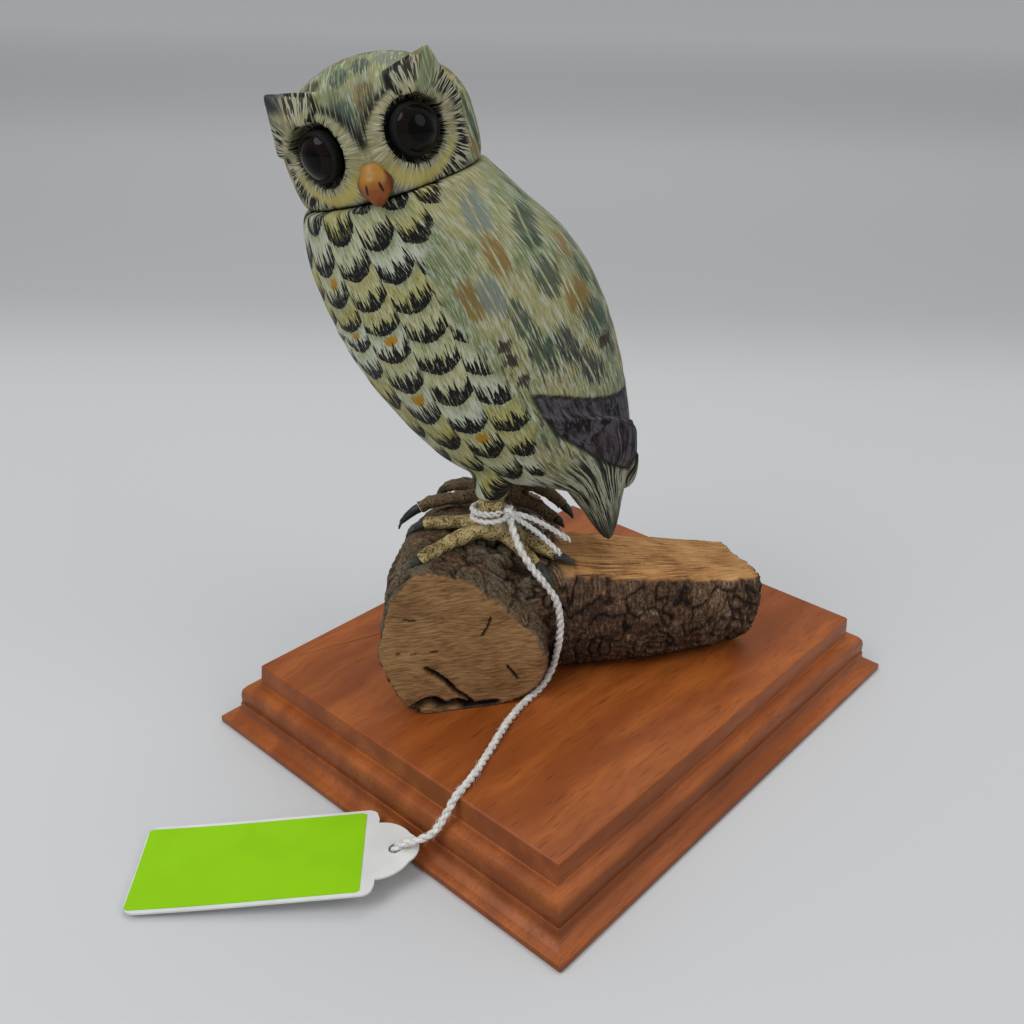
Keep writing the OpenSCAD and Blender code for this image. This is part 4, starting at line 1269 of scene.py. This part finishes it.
@dataclass
class Twine:
    """Two-ply cotton string laid along any line."""

    ply_offset: float = 0.42
    ply_radius: float = 0.58
    pitch: float = 4.4
    step: float = 0.28
    sides: int = 12
    hairs_per_mm: float = 3.2

    def lay(self, name: str, lines: list, fray: float = 0.0) -> bpy.types.Object:
        """Twists string along each of some lines.

        Args:
            name: the new piece's name.
            lines: arrays of points in millimetres.
            fray: how far the plies spread apart towards each line's last point.
        Returns:
            The piece, with its twist attribute.
        """
        chance = random.Random(name)
        points, faces, notes = [], [], []

        def keep(part: tuple, marks: np.ndarray) -> None:
            """Adds one tube to the piece.

            Args:
                part: its points and faces.
                marks: the twist attribute at each point.
            """
            start = sum(len(block) for block in points)
            points.append(part[0])
            faces.extend([[k + start for k in face] for face in part[1]])
            notes.append(marks)

        for line in lines:
            gaps = np.linalg.norm(np.diff(line, axis=0), axis=1)
            along = np.concatenate([[0], np.cumsum(gaps)])
            count = max(8, int(along[-1] / self.step))
            at = np.linspace(0, along[-1], count)
            path = np.stack([np.interp(at, along, line[:, k]) for k in range(3)], axis=1)
            across, over = sides_of(path)
            loose = 1 + fray * smooth(0.72, 1.0, at / at[-1])
            for ply in (0, 1):
                turn = 2 * math.pi * at / self.pitch + math.pi * ply
                lean = self.ply_offset * loose * (1 + 0.06 * np.sin(at * 1.7 + ply))
                middle = path + (lean * np.cos(turn))[:, None] * across + (lean * np.sin(turn))[:,
                                                                                                None] * over
                wide = self.ply_radius * (1 + 0.07 * np.sin(at * 2.3 + 2 * ply) + 0.04 * np.sin(at * 5.1))
                wide = wide * (1 - 0.35 * smooth(0.9, 1.0, at / at[-1]) * (fray > 0))
                mark = np.stack([np.tile(np.arange(self.sides) / self.sides, count),
                                 np.repeat(at, self.sides), np.full(count * self.sides, float(ply))],
                                axis=1)
                keep(tube(middle, wide, self.sides), mark)
            for _ in range(int(along[-1] * self.hairs_per_mm)):
                k = chance.randrange(2, count - 2)
                turn = chance.uniform(0, 2 * math.pi)
                outward = math.cos(turn) * across[k] + math.sin(turn) * over[k]
                ahead = unit(path[k + 1] - path[k - 1]) * chance.choice((-1, 1))
                reach, rise = chance.uniform(0.8, 2.0), chance.uniform(0.15, 0.75)
                bend = np.array([chance.uniform(-0.3, 0.3) for _ in range(3)])
                share = np.linspace(0, 1, 5)[:, None]
                hair = path[k] + outward * (0.85 + rise * share) + ahead * reach * share + bend * share**2
                keep(tube(hair, np.array([0.035, 0.032, 0.028, 0.022, 0.015]), 3),
                     np.tile([0.5, at[k], 0.0], (15, 1)))
        piece = mesh_piece(name, np.concatenate(points), faces)
        note(piece, "twist", np.concatenate(notes))
        smooth_shaded(piece)
        return piece


@dataclass
class SwingTag:
    """A price tag on a cotton string that is tied round the owl's left leg."""

    # The hole is its place along the card and its width, the tip the same for the card's round end. The
    # label is its two ends, its width and its thickness. The wrap is the coil's turns, height, radius, rise
    # for each turn and first angle. The route and the tails are the string's listed points.
    length: float = 57.8
    width: float = 27.5
    thick: float = 0.5
    corner: float = 3.0
    shoulder: float = 9.075
    tip: tuple = (62.56, 5.44)
    hole: tuple = (62.15, 3.2)
    label: tuple = (0.4, 54.6, 25.5, 0.16)
    route: tuple = (
        (-1.5, -24.5, 68.3), (0, -25, 66), (3.4, -25.8, 61.8), (6.6, -25, 57.5), (8.8, -23, 53.5),
        (10.9, -21.4, 50), (12.1, -20.2, 46), (12.7, -19.6, 41), (12.5, -19.4, 35.5), (11.5, -19.2, 30),
        (10.8, -19.7, 25.5), (10.5, -22, 22), (10.7, -26, 20.6), (11.2, -31, 20.5), (12.2, -36, 20.5),
        (14, -42, 20.5), (16.5, -48.5, 20.5), (19, -55, 20.5), (21.2, -61, 20.5), (22.6, -66, 20.6),
        (23, -69.5, 19.8), (22.9, -72, 17.2), (22.3, -74.3, 13.8), (21, -76.4, 11.2), (19.4, -78.2, 10),
        (17.8, -79.5, 9.2), (16.1, -80.8, 8.3), (14.95, -81.6, 7), (14.55, -81.95, 6),
    )
    tails: tuple = (
        ((1.7, 5.4, 7.8), (0.8, 8.6, 6.6), (-0.4, 13, 4), (-1.2, 17.2, 1), (-1.8, 21, -2)),
        ((1.8, 5.6, 7), (1, 8.8, 4.4), (0.2, 13, 0.6), (1.2, 16, -1.8), (2.2, 18.5, -4)),
    )
    wrap: tuple = (1.9, 6.9, 4.7, 2.1, 72.0)
    knot_size: float = 0.5
    string_mm: float = 2.0

    def knot_line(self, middle: np.ndarray, tilt: tuple) -> np.ndarray:
        """The middle line of a small pulled knot.

        Args:
            middle: where it is.
            tilt: its turns about X and Y in degrees.
        Returns:
            The line's points in millimetres.
        """
        t = np.linspace(0, 2 * math.pi, 90)
        line = np.stack([np.sin(t) + 2 * np.sin(2 * t), np.cos(t) - 2 * np.cos(2 * t),
                         -1.4 * np.sin(3 * t)], axis=1)
        turn = Matrix.Rotation(math.radians(tilt[0]), 3, "X") @ Matrix.Rotation(math.radians(tilt[1]), 3,
                                                                                "Y")
        return middle + line * self.knot_size @ np.array(turn).T

    def string(self, layout: Layout, cotton: bpy.types.Material) -> None:
        """Makes the string, its knot on the leg and the stopper knot under the card.

        Args:
            layout: the frames.
            cotton: the string's material.
        """
        line = curve(list(self.route), 460)
        string = dressed(Twine().lay("swing_string", [line]), cotton, "cotton_string", "tag_string")
        turns, low, radius, rise, first = self.wrap
        at = np.linspace(0, turns, 130)
        angle = 2 * math.pi * at + math.radians(first)
        coil = np.stack([radius * np.cos(angle), radius * np.sin(angle),
                         low - turns * rise / 2 + rise * at], axis=1)
        ball = np.array([radius * math.cos(math.radians(first)), radius * math.sin(math.radians(first)),
                         7.9])
        lines = [coil, self.knot_line(ball, (80, 20)), *(curve(list(tail), 60) for tail in self.tails)]
        finer = Twine(ply_offset=0.32, ply_radius=0.44, pitch=3.4, hairs_per_mm=2.6)
        dressed(finer.lay("leg_knot", [layout.knot.out(part) for part in lines], fray=0.5), cotton,
                "cotton_string", "string_knot")
        under = layout.tag.out((self.hole[0], 0, -2.4))
        stopper = dressed(finer.lay("stopper", [self.knot_line(under, (20, 10))]), cotton, "cotton_string",
                          "stopper_knot")

    def half_width(self, x: np.ndarray) -> np.ndarray:
        """Half the card's width.

        Args:
            x: distances from the card's square end.
        Returns:
            Half the width at each of them.
        """
        ends = np.minimum(x, self.length - x)
        near = np.clip(self.corner - ends, 0, self.corner)
        half = self.width / 2 - self.corner + np.sqrt(np.clip(self.corner**2 - near**2, 0, None))
        half = np.where(x <= self.length, half, 0)
        shoulder = np.sqrt(np.clip(self.shoulder**2 - (x - self.length) ** 2, 0, None))
        tip = np.sqrt(np.clip(self.tip[1] ** 2 - (x - self.tip[0]) ** 2, 0, None))
        return np.maximum(half, np.where(x > 50, np.maximum(np.maximum(shoulder, tip), 0.02), 0))

    def lift(self, x: np.ndarray, y: np.ndarray) -> np.ndarray:
        """How far the card curls up from flat at each of its points."""
        return 0.0009 * (30 - x) ** 2 * (x < 30) + 0.0016 * y**2 * smooth(62, 20, x)

    def leaf(self, name: str, xs: np.ndarray, halves: np.ndarray, base: float,
             thick: float) -> bpy.types.Object:
        """A thin curled leaf of paper.

        Args:
            name: the new piece's name.
            xs: the distances of its rows from the card's square end.
            halves: half its width at each row.
            base: the height of its underside.
            thick: its thickness.
        Returns:
            The piece, in the card's frame.
        """
        across = np.linspace(-1, 1, 33)
        x = np.repeat(xs, len(across))
        y = (halves[:, None] * across[None]).ravel()
        points = np.stack([x, y, base + self.lift(x, y)], axis=1)
        n = len(across)
        faces = [[i * n + k, (i + 1) * n + k, (i + 1) * n + k + 1, i * n + k + 1]
                 for i in range(len(xs) - 1) for k in range(n - 1)]
        piece = mesh_piece(name, points, faces)
        work(piece, "SOLIDIFY", thickness=thick * MM, offset=1)
        return piece

    def card(self, layout: Layout, white: bpy.types.Material, green: bpy.types.Material) -> None:
        """Makes the card with its scalloped end and hole, and the blank label on it.

        Args:
            layout: the frames.
            white: the card's material.
            green: the label's material.
        """
        start = np.concatenate([self.corner * (1 - np.cos(np.linspace(0, math.pi / 2, 9))),
                                np.linspace(4, 54.6, 40)])
        end = np.concatenate([self.length - self.corner * np.cos(np.linspace(math.pi / 2, 0, 8)), [57.81],
                              np.linspace(58, 66.9, 60), 66.9 + 1.1 * np.sin(np.linspace(0, math.pi / 2,
                                                                                         9))])
        xs = np.unique(np.round(np.concatenate([start, end]), 4))
        card = self.leaf("card", xs, self.half_width(xs), 0.0, self.thick)
        bpy.ops.mesh.primitive_cylinder_add(vertices=40, radius=self.hole[1] / 2 * MM, depth=8 * MM,
                                            location=(self.hole[0] * MM, 0, 0))
        punch = bpy.context.object
        work(card, "BOOLEAN", operation="DIFFERENCE", solver="EXACT", object=punch)
        bpy.data.objects.remove(punch)
        low, high, width, thick = self.label
        rows = np.linspace(low, high, 60)
        edge = np.full(60, width / 2)
        edge[[0, -1]] -= 0.5
        label = self.leaf("label", rows, edge, self.thick + 0.01, thick)
        for piece, finish, slot, node in ((card, white, "white_card", "tag_card"),
                                          (label, green, "green_label", "tag_label")):
            put_points(piece, layout.tag.out(points_of(piece)))
            smooth_shaded(piece, 35)
            dressed(piece, finish, slot, node)


# ---- plinth and driftwood ----------------------------------------------------------------------


@dataclass
class Plinth:
    """The moulded plinth, with its edges eased."""

    ease_mm: float = 0.35

    def build(self, frame: dict, finish: bpy.types.Material) -> None:
        """Makes the plinth.

        Args:
            finish: its material.
        """
        piece = merged_copy(frame, "plinth", "moulded_plinth")
        work(piece, "BEVEL", width=self.ease_mm * MM, segments=2, limit_method="ANGLE",
             angle_limit=math.radians(38))
        smooth_shaded(piece, 32)
        dressed(piece, finish, "stained_hardwood", "plinth")


@dataclass
class Log:
    """The driftwood: a sawn and split forked branch with its rough bark."""

    cell: float = 0.53
    # The slant is the sawn face's turn from square. The bark's edge and the cracks lie on that face, each
    # crack with its half width and depth.
    slant: float = 0.41
    limb_line: tuple = ((-13, -28), (-6, -19), (2.5, -8), (10, 1.5), (17, 12), (23.5, 23), (28, 32),
                        (31, 38.5))
    bark_edge: tuple = ((-23, 48), (-7.5, 47), (-3.6, 44.8), (1.1, 42.2), (5.9, 37), (12.7, 30.6),
                        (19.3, 25.8), (22.6, 20.5), (25, 12.9), (24, 3.4), (18, -3), (-23, -3))
    cracks: tuple = (
        (((-7.6, 14.4), (-4.4, 11.6), (-2.2, 9.4), (-0.2, 6.6), (1.9, 4.6), (4.4, 2.2)), 0.62, 2.4),
        (((9.3, 27.7), (8.4, 25), (7, 22.5)), 0.22, 0.8),
        (((13.9, 12.3), (15.4, 10), (16.8, 7.9)), 0.3, 1.0),
        (((-11.5, 1.6), (-8.4, 3.4), (-5.5, 3.6), (-3, 1.6), (0.5, 2.2), (3.9, 0.6), (11, 0.5)), 1.25, 3.2),
        (((-13, 30), (-8, 29.2), (-3, 29.5)), 0.16, 0.5),
        (((-15, 20), (-9, 19.2), (-4.5, 19.6)), 0.16, 0.5),
    )

    def flow(self, points: np.ndarray, normals: np.ndarray, trunk: Place) -> tuple:
        """Coordinates that follow the grain.

        Args:
            points: the log's points.
            normals: the normal at each point, which finds the wood's ends.
            trunk: the trunk's frame.
        Returns:
            Millimetres round and along the wood at each point, how far along the limb it is, its sideways
            place on the limb, and the share of limb.
        """
        line = curve(list(self.limb_line), 200)
        gaps = np.concatenate([[0], np.cumsum(np.linalg.norm(np.diff(line, axis=0), axis=1))])
        nearest = np.argmin(((points[:, None, :2] - line[None]) ** 2).sum(2), axis=1)
        heading = np.gradient(line, axis=0)
        heading /= np.linalg.norm(heading, axis=1, keepdims=True)
        offset = points[:, :2] - line[nearest]
        side = offset[:, 0] * heading[nearest, 1] - offset[:, 1] * heading[nearest, 0]
        along = gaps[nearest] + (offset * heading[nearest]).sum(1)
        local = trunk.into(points)
        share = smooth(16.0, 22.0, local[:, 0]) * smooth(18, 26, along)
        turn_limb = np.arctan2(side, points[:, 2] - 36) * 17
        turn_trunk = np.arctan2(local[:, 0], points[:, 2] - 40) * 20
        pair = np.stack([turn_trunk + (turn_limb - turn_trunk) * share,
                         local[:, 1] + (along - local[:, 1]) * share], axis=1)
        facing_limb = (normals[:, :2] * heading[nearest]).sum(1)
        facing_trunk = np.abs(normals @ trunk.axes[1])
        end = smooth(0.6, 0.85, facing_limb + (facing_trunk - facing_limb) * (1 - share))
        flat = np.stack([side * share + local[:, 0] * (1 - share), points[:, 2]], axis=1)
        return pair + (flat - pair) * end[:, None], along, side, share

    def build(self, frame: dict, layout: Layout, finish: bpy.types.Material) -> None:
        """Makes the log.

        Args:
            layout: the frames.
            finish: its material.
        """
        piece = remeshed(frame, "driftwood_log", "driftwood", self.cell, 3)
        points, normals = points_of(piece), normals_of(piece)
        pair, along, side, limb = self.flow(points, normals, layout.trunk)
        local = layout.trunk.into(points)
        saw_normal = unit(np.array([self.slant, -1.0, 0.0])) @ layout.trunk.axes
        to_plane = (local[:, 1] - self.slant * local[:, 0]) / math.hypot(1, self.slant)
        facing = normals @ saw_normal
        face_x = local[:, 0] * math.hypot(1, self.slant)
        on_face = smooth(0.45, 0.8, facing) * smooth(2.2, 0.9, to_plane)
        flat = np.stack([face_x, local[:, 2]], axis=1)
        wander = ripple(np.stack([*flat.T, 0 * face_x], axis=1), 5.0, 3.0, 3)
        sawn = on_face * smooth(-0.9, 0.6, inside_by(np.array(self.bark_edge, float), flat) + 1.6 * wander)
        top = smooth(0.55, 0.85, normals[:, 2]) * limb
        ragged = ripple(np.stack([*pair.T, 0 * along], axis=1), 6.0, 9.0, 3)
        inner = smooth(0.2, 1.2, 13.8 - np.abs(side) + 2.6 * ragged)
        split = top * inner * smooth(20, 27, along + 5 * ragged) * smooth(81.5, 79.5, along + ragged)
        stretched = np.stack([pair[:, 0] * 0.35, pair[:, 1], 0 * along], axis=1)
        coarse = ripple(points, 7.0, 1.0, 2)
        ridges = ripple(stretched, 1.9, 4.0, 2)
        fine = ripple(points, 1.5, 7.0, 2)
        rough = 0.5 * coarse + 0.5 * np.abs(ridges) + 0.3 * fine
        bark = np.clip(1 - sawn - split, 0, 1)
        scale = np.abs(ripple(stretched * (1, 0.6, 1), 3.4, 12.0, 2))
        sink = bark * (-0.25 + 1.0 * rough + 1.1 * smooth(0.16, 0.0, scale))
        lengthwise = np.stack([pair[:, 0], pair[:, 1] * 0.07, 0 * along], axis=1)
        fibre = ripple(lengthwise, 1.0, 2.0, 2)
        sink += split * (0.12 + 0.42 * np.clip(fibre, 0, 1) + 0.1 * fine)
        across_face = np.stack([face_x * 0.12, local[:, 2], 0 * face_x], axis=1)
        sink += sawn * (0.05 + 0.1 * ripple(across_face, 0.8, 5.0, 1))
        # Painted shade: this share darkens the sunk bark hollows, the split's fibre grooves and the cracks
        # nearly to black.
        recess_shade = np.clip(bark * (smooth(0.4, 0.9, rough) * 0.6 + 0.75 * smooth(0.12, 0.0, scale)), 0, 1)
        recess_shade += split * smooth(0.42, 0.7, fibre) * 0.85
        for line, wide, deep in self.cracks:
            path = curve(list(line), 60)
            gap = np.sqrt(((flat[:, None] - path[None]) ** 2).sum(2)).min(1)
            cut = smooth(wide * 1.5, wide * 0.35, gap + 0.25 * wander) * on_face
            sink += cut * deep
            recess_shade = np.maximum(recess_shade, cut)
        foot = smooth(21.6, 20.2, points[:, 2] + 0.8 * coarse)
        sink += foot * bark * 0.8
        rest = smooth(19.6, 20.6, points[:, 2])
        put_points(piece, points - normals * (np.clip(sink, -1.1, 3.5) * rest)[:, None])
        near = smooth(30, 4, along) * smooth(0, 0.5, normals[:, 2] + 0.35)
        grey = np.clip(near * (0.5 + ragged) + on_face * (1 - sawn), 0, 1)
        note(piece, "zones", np.stack([sawn, split, grey], axis=1))
        note(piece, "recess_shade", np.stack([np.clip(recess_shade, 0, 1)] * 3, axis=1))
        note(piece, "flow", np.stack([*pair.T, 0 * along], axis=1))
        smooth_shaded(piece)
        dressed(piece, finish, "driftwood", "driftwood_log")


# ---- the owl -----------------------------------------------------------------------------------


@dataclass
class Body:
    """The carved body, with folded wings, dark primaries and a tail."""

    cell: float = 0.53
    rounds: int = 24
    # The spine, wings and shoulder are lines in the owl's side view. The half widths and depths are the
    # body's at each station down the spine.
    spine: tuple = ((-25, 88), (-12, 68), (-2, 43), (9, 23), (20, 13), (29.4, -4.7))
    stations: tuple = (0, 25, 50, 75, 90, 108)
    half_widths: tuple = (22, 24, 23, 17, 11, 4)
    half_depths: tuple = (24, 30, 31, 22, 12, 4)
    columns: float = 9.5
    wings: tuple = ((7.1, 44.3), (14.1, 33.7), (19.9, 29), (28.6, 21.7), (32.7, 19.6), (34.8, 25.6),
                    (34.2, 32), (31.6, 40), (22, 41.6), (14, 43.4))
    shoulder: tuple = ((-13.7, 95), (-13.7, 87.8), (-17.2, 75.9), (-14.4, 68), (-9.4, 60.4), (-4.1, 53.3),
                       (2.8, 45), (8.4, 37.7), (8.7, 27.2), (12, 20), (20, 14), (30, -20), (60, -20),
                       (60, 95))

    def build(self, frame: dict, layout: Layout, finish: bpy.types.Material) -> None:
        """Makes the body.

        Args:
            layout: the frames.
            finish: its material.
        """
        piece = remeshed(frame, "owl_body", "owl_torso", self.cell, self.rounds)
        points, normals = points_of(piece), normals_of(piece)
        local = layout.owl.into(points)
        line = curve(list(self.spine), 240)
        gaps = np.concatenate([[0], np.cumsum(np.linalg.norm(np.diff(line, axis=0), axis=1))])
        nearest = np.argmin(((local[:, None, 1:] - line[None]) ** 2).sum(2), axis=1)
        heading = np.gradient(line, axis=0)
        heading /= np.linalg.norm(heading, axis=1, keepdims=True)
        offset = local[:, 1:] - line[nearest]
        back = -offset[:, 0] * heading[nearest, 1] + offset[:, 1] * heading[nearest, 0]
        down = gaps[nearest] + (offset * heading[nearest]).sum(1)
        half_wide = np.interp(down, self.stations, self.half_widths)
        half_deep = np.interp(down, self.stations, self.half_depths)
        turn = np.arctan2(np.abs(local[:, 0]) / half_wide, -back / half_deep)
        plan = local[:, 1:]
        wings = inside_by(np.array(self.wings, float), plan)
        outer = smooth(2.5, 5.0, np.abs(local[:, 0]))
        primary = smooth(-0.3, 0.5, wings) * outer
        # The outline is the groove carved round the primaries; besides being sunk, it is painted near black
        # as painted shade.
        outline = smooth(0.75, 0.3, np.abs(wings)) * outer * smooth(6, 9, plan[:, 0])
        tail = smooth(76, 84, down) * (1 - primary)
        lengthwise = np.stack([turn * 22, down * 0.06, 0 * down], axis=1)
        quills = ripple(lengthwise, 1.5, 2.0, 1)
        sink = 0.12 * (0.5 + 0.5 * np.cos(2 * math.pi * down / 9.8)) + 0.06 * ripple(points, 2.4, 1.0, 2)
        sink = sink + 0.32 * np.clip(quills, 0, 1) * np.maximum(primary, tail) + 0.45 * outline
        put_points(piece, points - normals * np.clip(sink, 0, 1)[:, None])
        note(piece, "plumage", np.stack([turn / math.pi * self.columns, down, local[:, 0]], axis=1))
        shoulder = inside_by(np.array(self.shoulder, float), plan)
        note(piece, "zones", np.stack([primary, tail, outline], axis=1))
        note(piece, "wing", np.stack([shoulder, plan[:, 0], plan[:, 1]], axis=1))
        smooth_shaded(piece)
        dressed(piece, finish, "painted_basswood", "owl_body")


@dataclass
class Head:
    """The turned head with its two flat facial discs and low ear tufts."""

    cell: float = 0.42
    rounds: int = 10

    def build(self, frame: dict, layout: Layout, finish: bpy.types.Material) -> None:
        """Makes the head.

        Args:
            layout: the frames.
            finish: its material.
        """
        piece = remeshed(frame, "owl_head", "owl_face", self.cell, self.rounds)
        points, normals = points_of(piece), normals_of(piece)
        local = layout.head.into(points)
        face = np.zeros(len(points))
        for side, eye in layout.eyes.items():
            seen = eye.into(points)
            flat = smooth(2.6, 1.4, np.abs(seen[:, 2])) * (local[:, 0] * side.value > -1)
            outward = normals @ eye.axes[2]
            spread = np.linalg.norm(seen[:, :2], axis=1)
            face = np.maximum(face, (spread < 7.5) * (seen[:, 2] > -5) * (seen[:, 2] < 1) * 1.0)
            face = np.maximum(face, flat * smooth(0.55, 0.8, outward) * smooth(19, 17.5, spread))
        heights = {side: eye.into(points)[:, 2] for side, eye in layout.eyes.items()}
        on_left = local[:, 0] > 0
        own = np.where(on_left, heights[Side.LEFT], heights[Side.RIGHT])
        away = np.where(on_left, heights[Side.RIGHT], heights[Side.LEFT])
        rise = smooth(9, 13, local[:, 2])
        vee = smooth(-4.6, -1.0, away) * rise * face
        behind = smooth(-4.2, -1.0, own) * (1 - face) * rise * smooth(16, 12, np.abs(local[:, 0]))
        teal = smooth(-9, -3, own) * (1 - face) * smooth(6.5, 4, np.abs(local[:, 0])) * rise
        note(piece, "brow", np.stack([np.maximum(vee, behind), teal, local[:, 0] * 1.6], axis=1))
        turn = np.arctan2(local[:, 1], local[:, 2] + 4)
        # The low share is painted shade: the head's downward-facing underside at the neck.
        low = smooth(1.6, 0.2, local[:, 2] + 0.5 * ripple(points, 2.5, 1.0, 1)) * smooth(-0.2, -0.7,
                                                                                         normals[:, 2])
        ear = smooth(13.5, 16.5, -local[:, 0]) * smooth(21, 24, local[:, 2]) * smooth(-4, -9, local[:, 1])
        sink = 0.07 * ripple(points, 2.0, 6.0, 2) + 0.05
        put_points(piece, points - normals * np.clip(sink, 0, 1)[:, None])
        note(piece, "plumage", np.stack([local[:, 0] / Plumage.column_mm, turn * 24, local[:, 0]], axis=1))
        note(piece, "zones", np.stack([face, low, ear * (1 - 0.5 * face)], axis=1))
        smooth_shaded(piece)
        dressed(piece, finish, "painted_basswood", "owl_head")


@dataclass
class Eyes:
    """Two glass eyes with the putty rims that hold them."""

    # The glass is a dome on a short seat, and the rims keep a share of their width.
    radius: float = 5.22
    dome: float = 2.55
    seat: float = 2.9
    rim_share: float = 0.815

    def build(self, frame: dict, layout: Layout, glass: dict, putty: bpy.types.Material) -> None:
        """Makes both eyes and both rims.

        Args:
            layout: the frames.
            glass: each eye's material by side.
            putty: the rims' material.
        """
        ball = (self.radius**2 + self.dome**2) / (2 * self.dome)
        reach = math.asin(self.radius / ball)
        arc = np.linspace(0, reach, 22)
        profile = [(ball * math.sin(a), 0, self.dome - ball * (1 - math.cos(a))) for a in arc]
        profile += [(self.radius - 0.1, 0, -0.4), (self.radius - 0.1, 0, -self.seat + 0.3),
                    (4.4, 0, -self.seat), (0, 0, -self.seat)]
        for side in Side:
            eye = mesh_piece(f"{side.word}_glass_eye", np.array(profile), [])
            eye.data.edges.add(len(profile) - 1)
            eye.data.edges.foreach_set("vertices", [v for k in range(len(profile) - 1) for v in (k, k + 1)])
            work(eye, "SCREW", steps=72, render_steps=72, use_merge_vertices=True, merge_threshold=1e-6,
                 use_normal_calculate=True)
            pick_only(eye)
            bpy.ops.object.mode_set(mode="EDIT")
            bpy.ops.mesh.select_all(action="SELECT")
            bpy.ops.mesh.normals_make_consistent(inside=False)
            bpy.ops.object.mode_set(mode="OBJECT")
            put_points(eye, layout.eyes[side].out(points_of(eye)))
            smooth_shaded(eye, 50)
            dressed(eye, glass[side], "black_glass", f"{side.word}_eye")
            rim = remeshed(frame, f"{side.word}_eye_rim", f"{side.word}_rim", 0.26, 4)
            points = points_of(rim)
            points = points - normals_of(rim) * (0.05 + 0.1 * ripple(points, 1.3, side.value, 1))[:, None]
            seen = layout.eyes[side].into(points)
            put_points(rim, layout.eyes[side].out(seen * (self.rim_share, self.rim_share, 0.7)))
            smooth_shaded(rim)
            dressed(rim, putty, "black_putty", f"{side.word}_eye_rim")


@dataclass
class Modelled:
    """A piece modelled by hand in putty over its CAD shape: lumpy, creased and smooth where fingers ran."""

    node: str
    name: str
    slot: str
    cell: float = 0.3
    rounds: int = 5
    lump: float = 0.4
    lump_mm: float = 2.4
    crease: float = 0.2

    def build(self, frame: dict, finish: bpy.types.Material, centre: Place | None = None,
              share: tuple = (1, 1, 1)) -> bpy.types.Object:
        """Makes the piece.

        Args:
            finish: its material.
            centre: a frame about whose origin the piece is trimmed down, if it is.
            share: how much is left of it along that frame's axes.
        Returns:
            The finished piece.
        """
        piece = remeshed(frame, self.node, self.name, self.cell, self.rounds)
        if centre is not None:
            put_points(piece, centre.out(centre.into(points_of(piece)) * share))
        points, normals = points_of(piece), normals_of(piece)
        sink = self.lump * (0.4 + ripple(points, self.lump_mm, 3.0, 1))
        sink += self.crease * np.abs(ripple(points * (1, 1, 2.2), 1.1, 8.0, 1))
        put_points(piece, points - normals * np.clip(sink, -0.35, 1.0)[:, None])
        smooth_shaded(piece)
        return dressed(piece, finish, self.slot, self.node)


def main() -> None:
    """Builds the whole figurine in its frame."""
    logging.basicConfig(level=logging.INFO, format="%(message)s")
    random.seed(7)
    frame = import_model()
    layout = Layout(frame)
    studio = Studio()
    studio.camera()
    tag = SwingTag()
    tag.string(layout, CottonTwist().made())
    white = Card("white_card", "#e8e9e7", "#dcddda").made()
    green = Card("green_label", "#97d60f", "#92d00d").made()
    tag.card(layout, white, green)
    Plinth().build(frame, StainedHardwood().made())
    Log().build(frame, layout, Driftwood().made(layout.trunk.moved((0, 0, 0), "X", 90)))
    plumage = Plumage()
    Body().build(frame, layout, plumage.body())
    Head().build(frame, layout, FacePaint().made(layout.eyes, layout.head, plumage))
    glass = {side: Glass().made(layout.eyes[side], f"glass_eye_{side.word}") for side in Side}
    black = Putty("black_putty", "#0c0b0b", "#050505", "#100f0e", gloss=0.75, rust="#0b0a0a").made()
    Eyes().build(frame, layout, glass, black)
    Modelled("beak", "hooked_beak", "orange_putty", 0.26, 5, 0.12, 1.8, 0.05).build(
        frame, BeakPaint().made(layout.beak), layout.beak, (0.95, 0.82, 0.86))
    near = Putty("yellow_putty", "#c9b680", "#2a2018", "#a08c55", 0.8, 0.5).made()
    # The far foot's putty is the near foot's yellow darkened to brown: painted shade, as that foot stands
    # behind in shade.
    far = Putty("brown_putty", "#6b5840", "#241a12", "#80694b", 0.45, rust="#5a3826").made()
    claw = Putty("claw_putty", "#2f332e", "#14150f", "#474b43", 0.3, gloss=0.4, rust="#2a2620").made()
    Modelled("left_foot", "near_foot", "yellow_putty").build(frame, near)
    Modelled("right_foot", "far_foot", "brown_putty", crease=0.3).build(frame, far)
    for side in Side:
        Modelled(f"{side.word}_claws", f"{side.word}_talons", "claw_putty", 0.22, 3, 0.06, 1.5, 0.05).build(
            frame, claw)
    steel = Wire("bright_steel", "#a9a9a6").made()
    zinc = Wire("zinc_plate", "#9fa2a3").made()
    birch = Card("turned_birch", "#c8a77a", "#b08a5c").made()
    for node, finish, slot in (
        ("neck_dowel", birch, "birch_dowel"), ("log_screws", zinc, "zinc_steel"),
        ("left_leg_pin", steel, "steel_wire"), ("right_leg_pin", steel, "steel_wire"),
        ("left_eye_stem", steel, "steel_wire"), ("right_eye_stem", steel, "steel_wire"),
    ):
        piece = merged_copy(frame, node, f"{node}_metal" if slot != "birch_dowel" else "dowel_wood")
        smooth_shaded(piece, 40)
        dressed(piece, finish, slot, node)
    studio.table_top()
    studio.light()


if __name__ == "__main__":
    main()
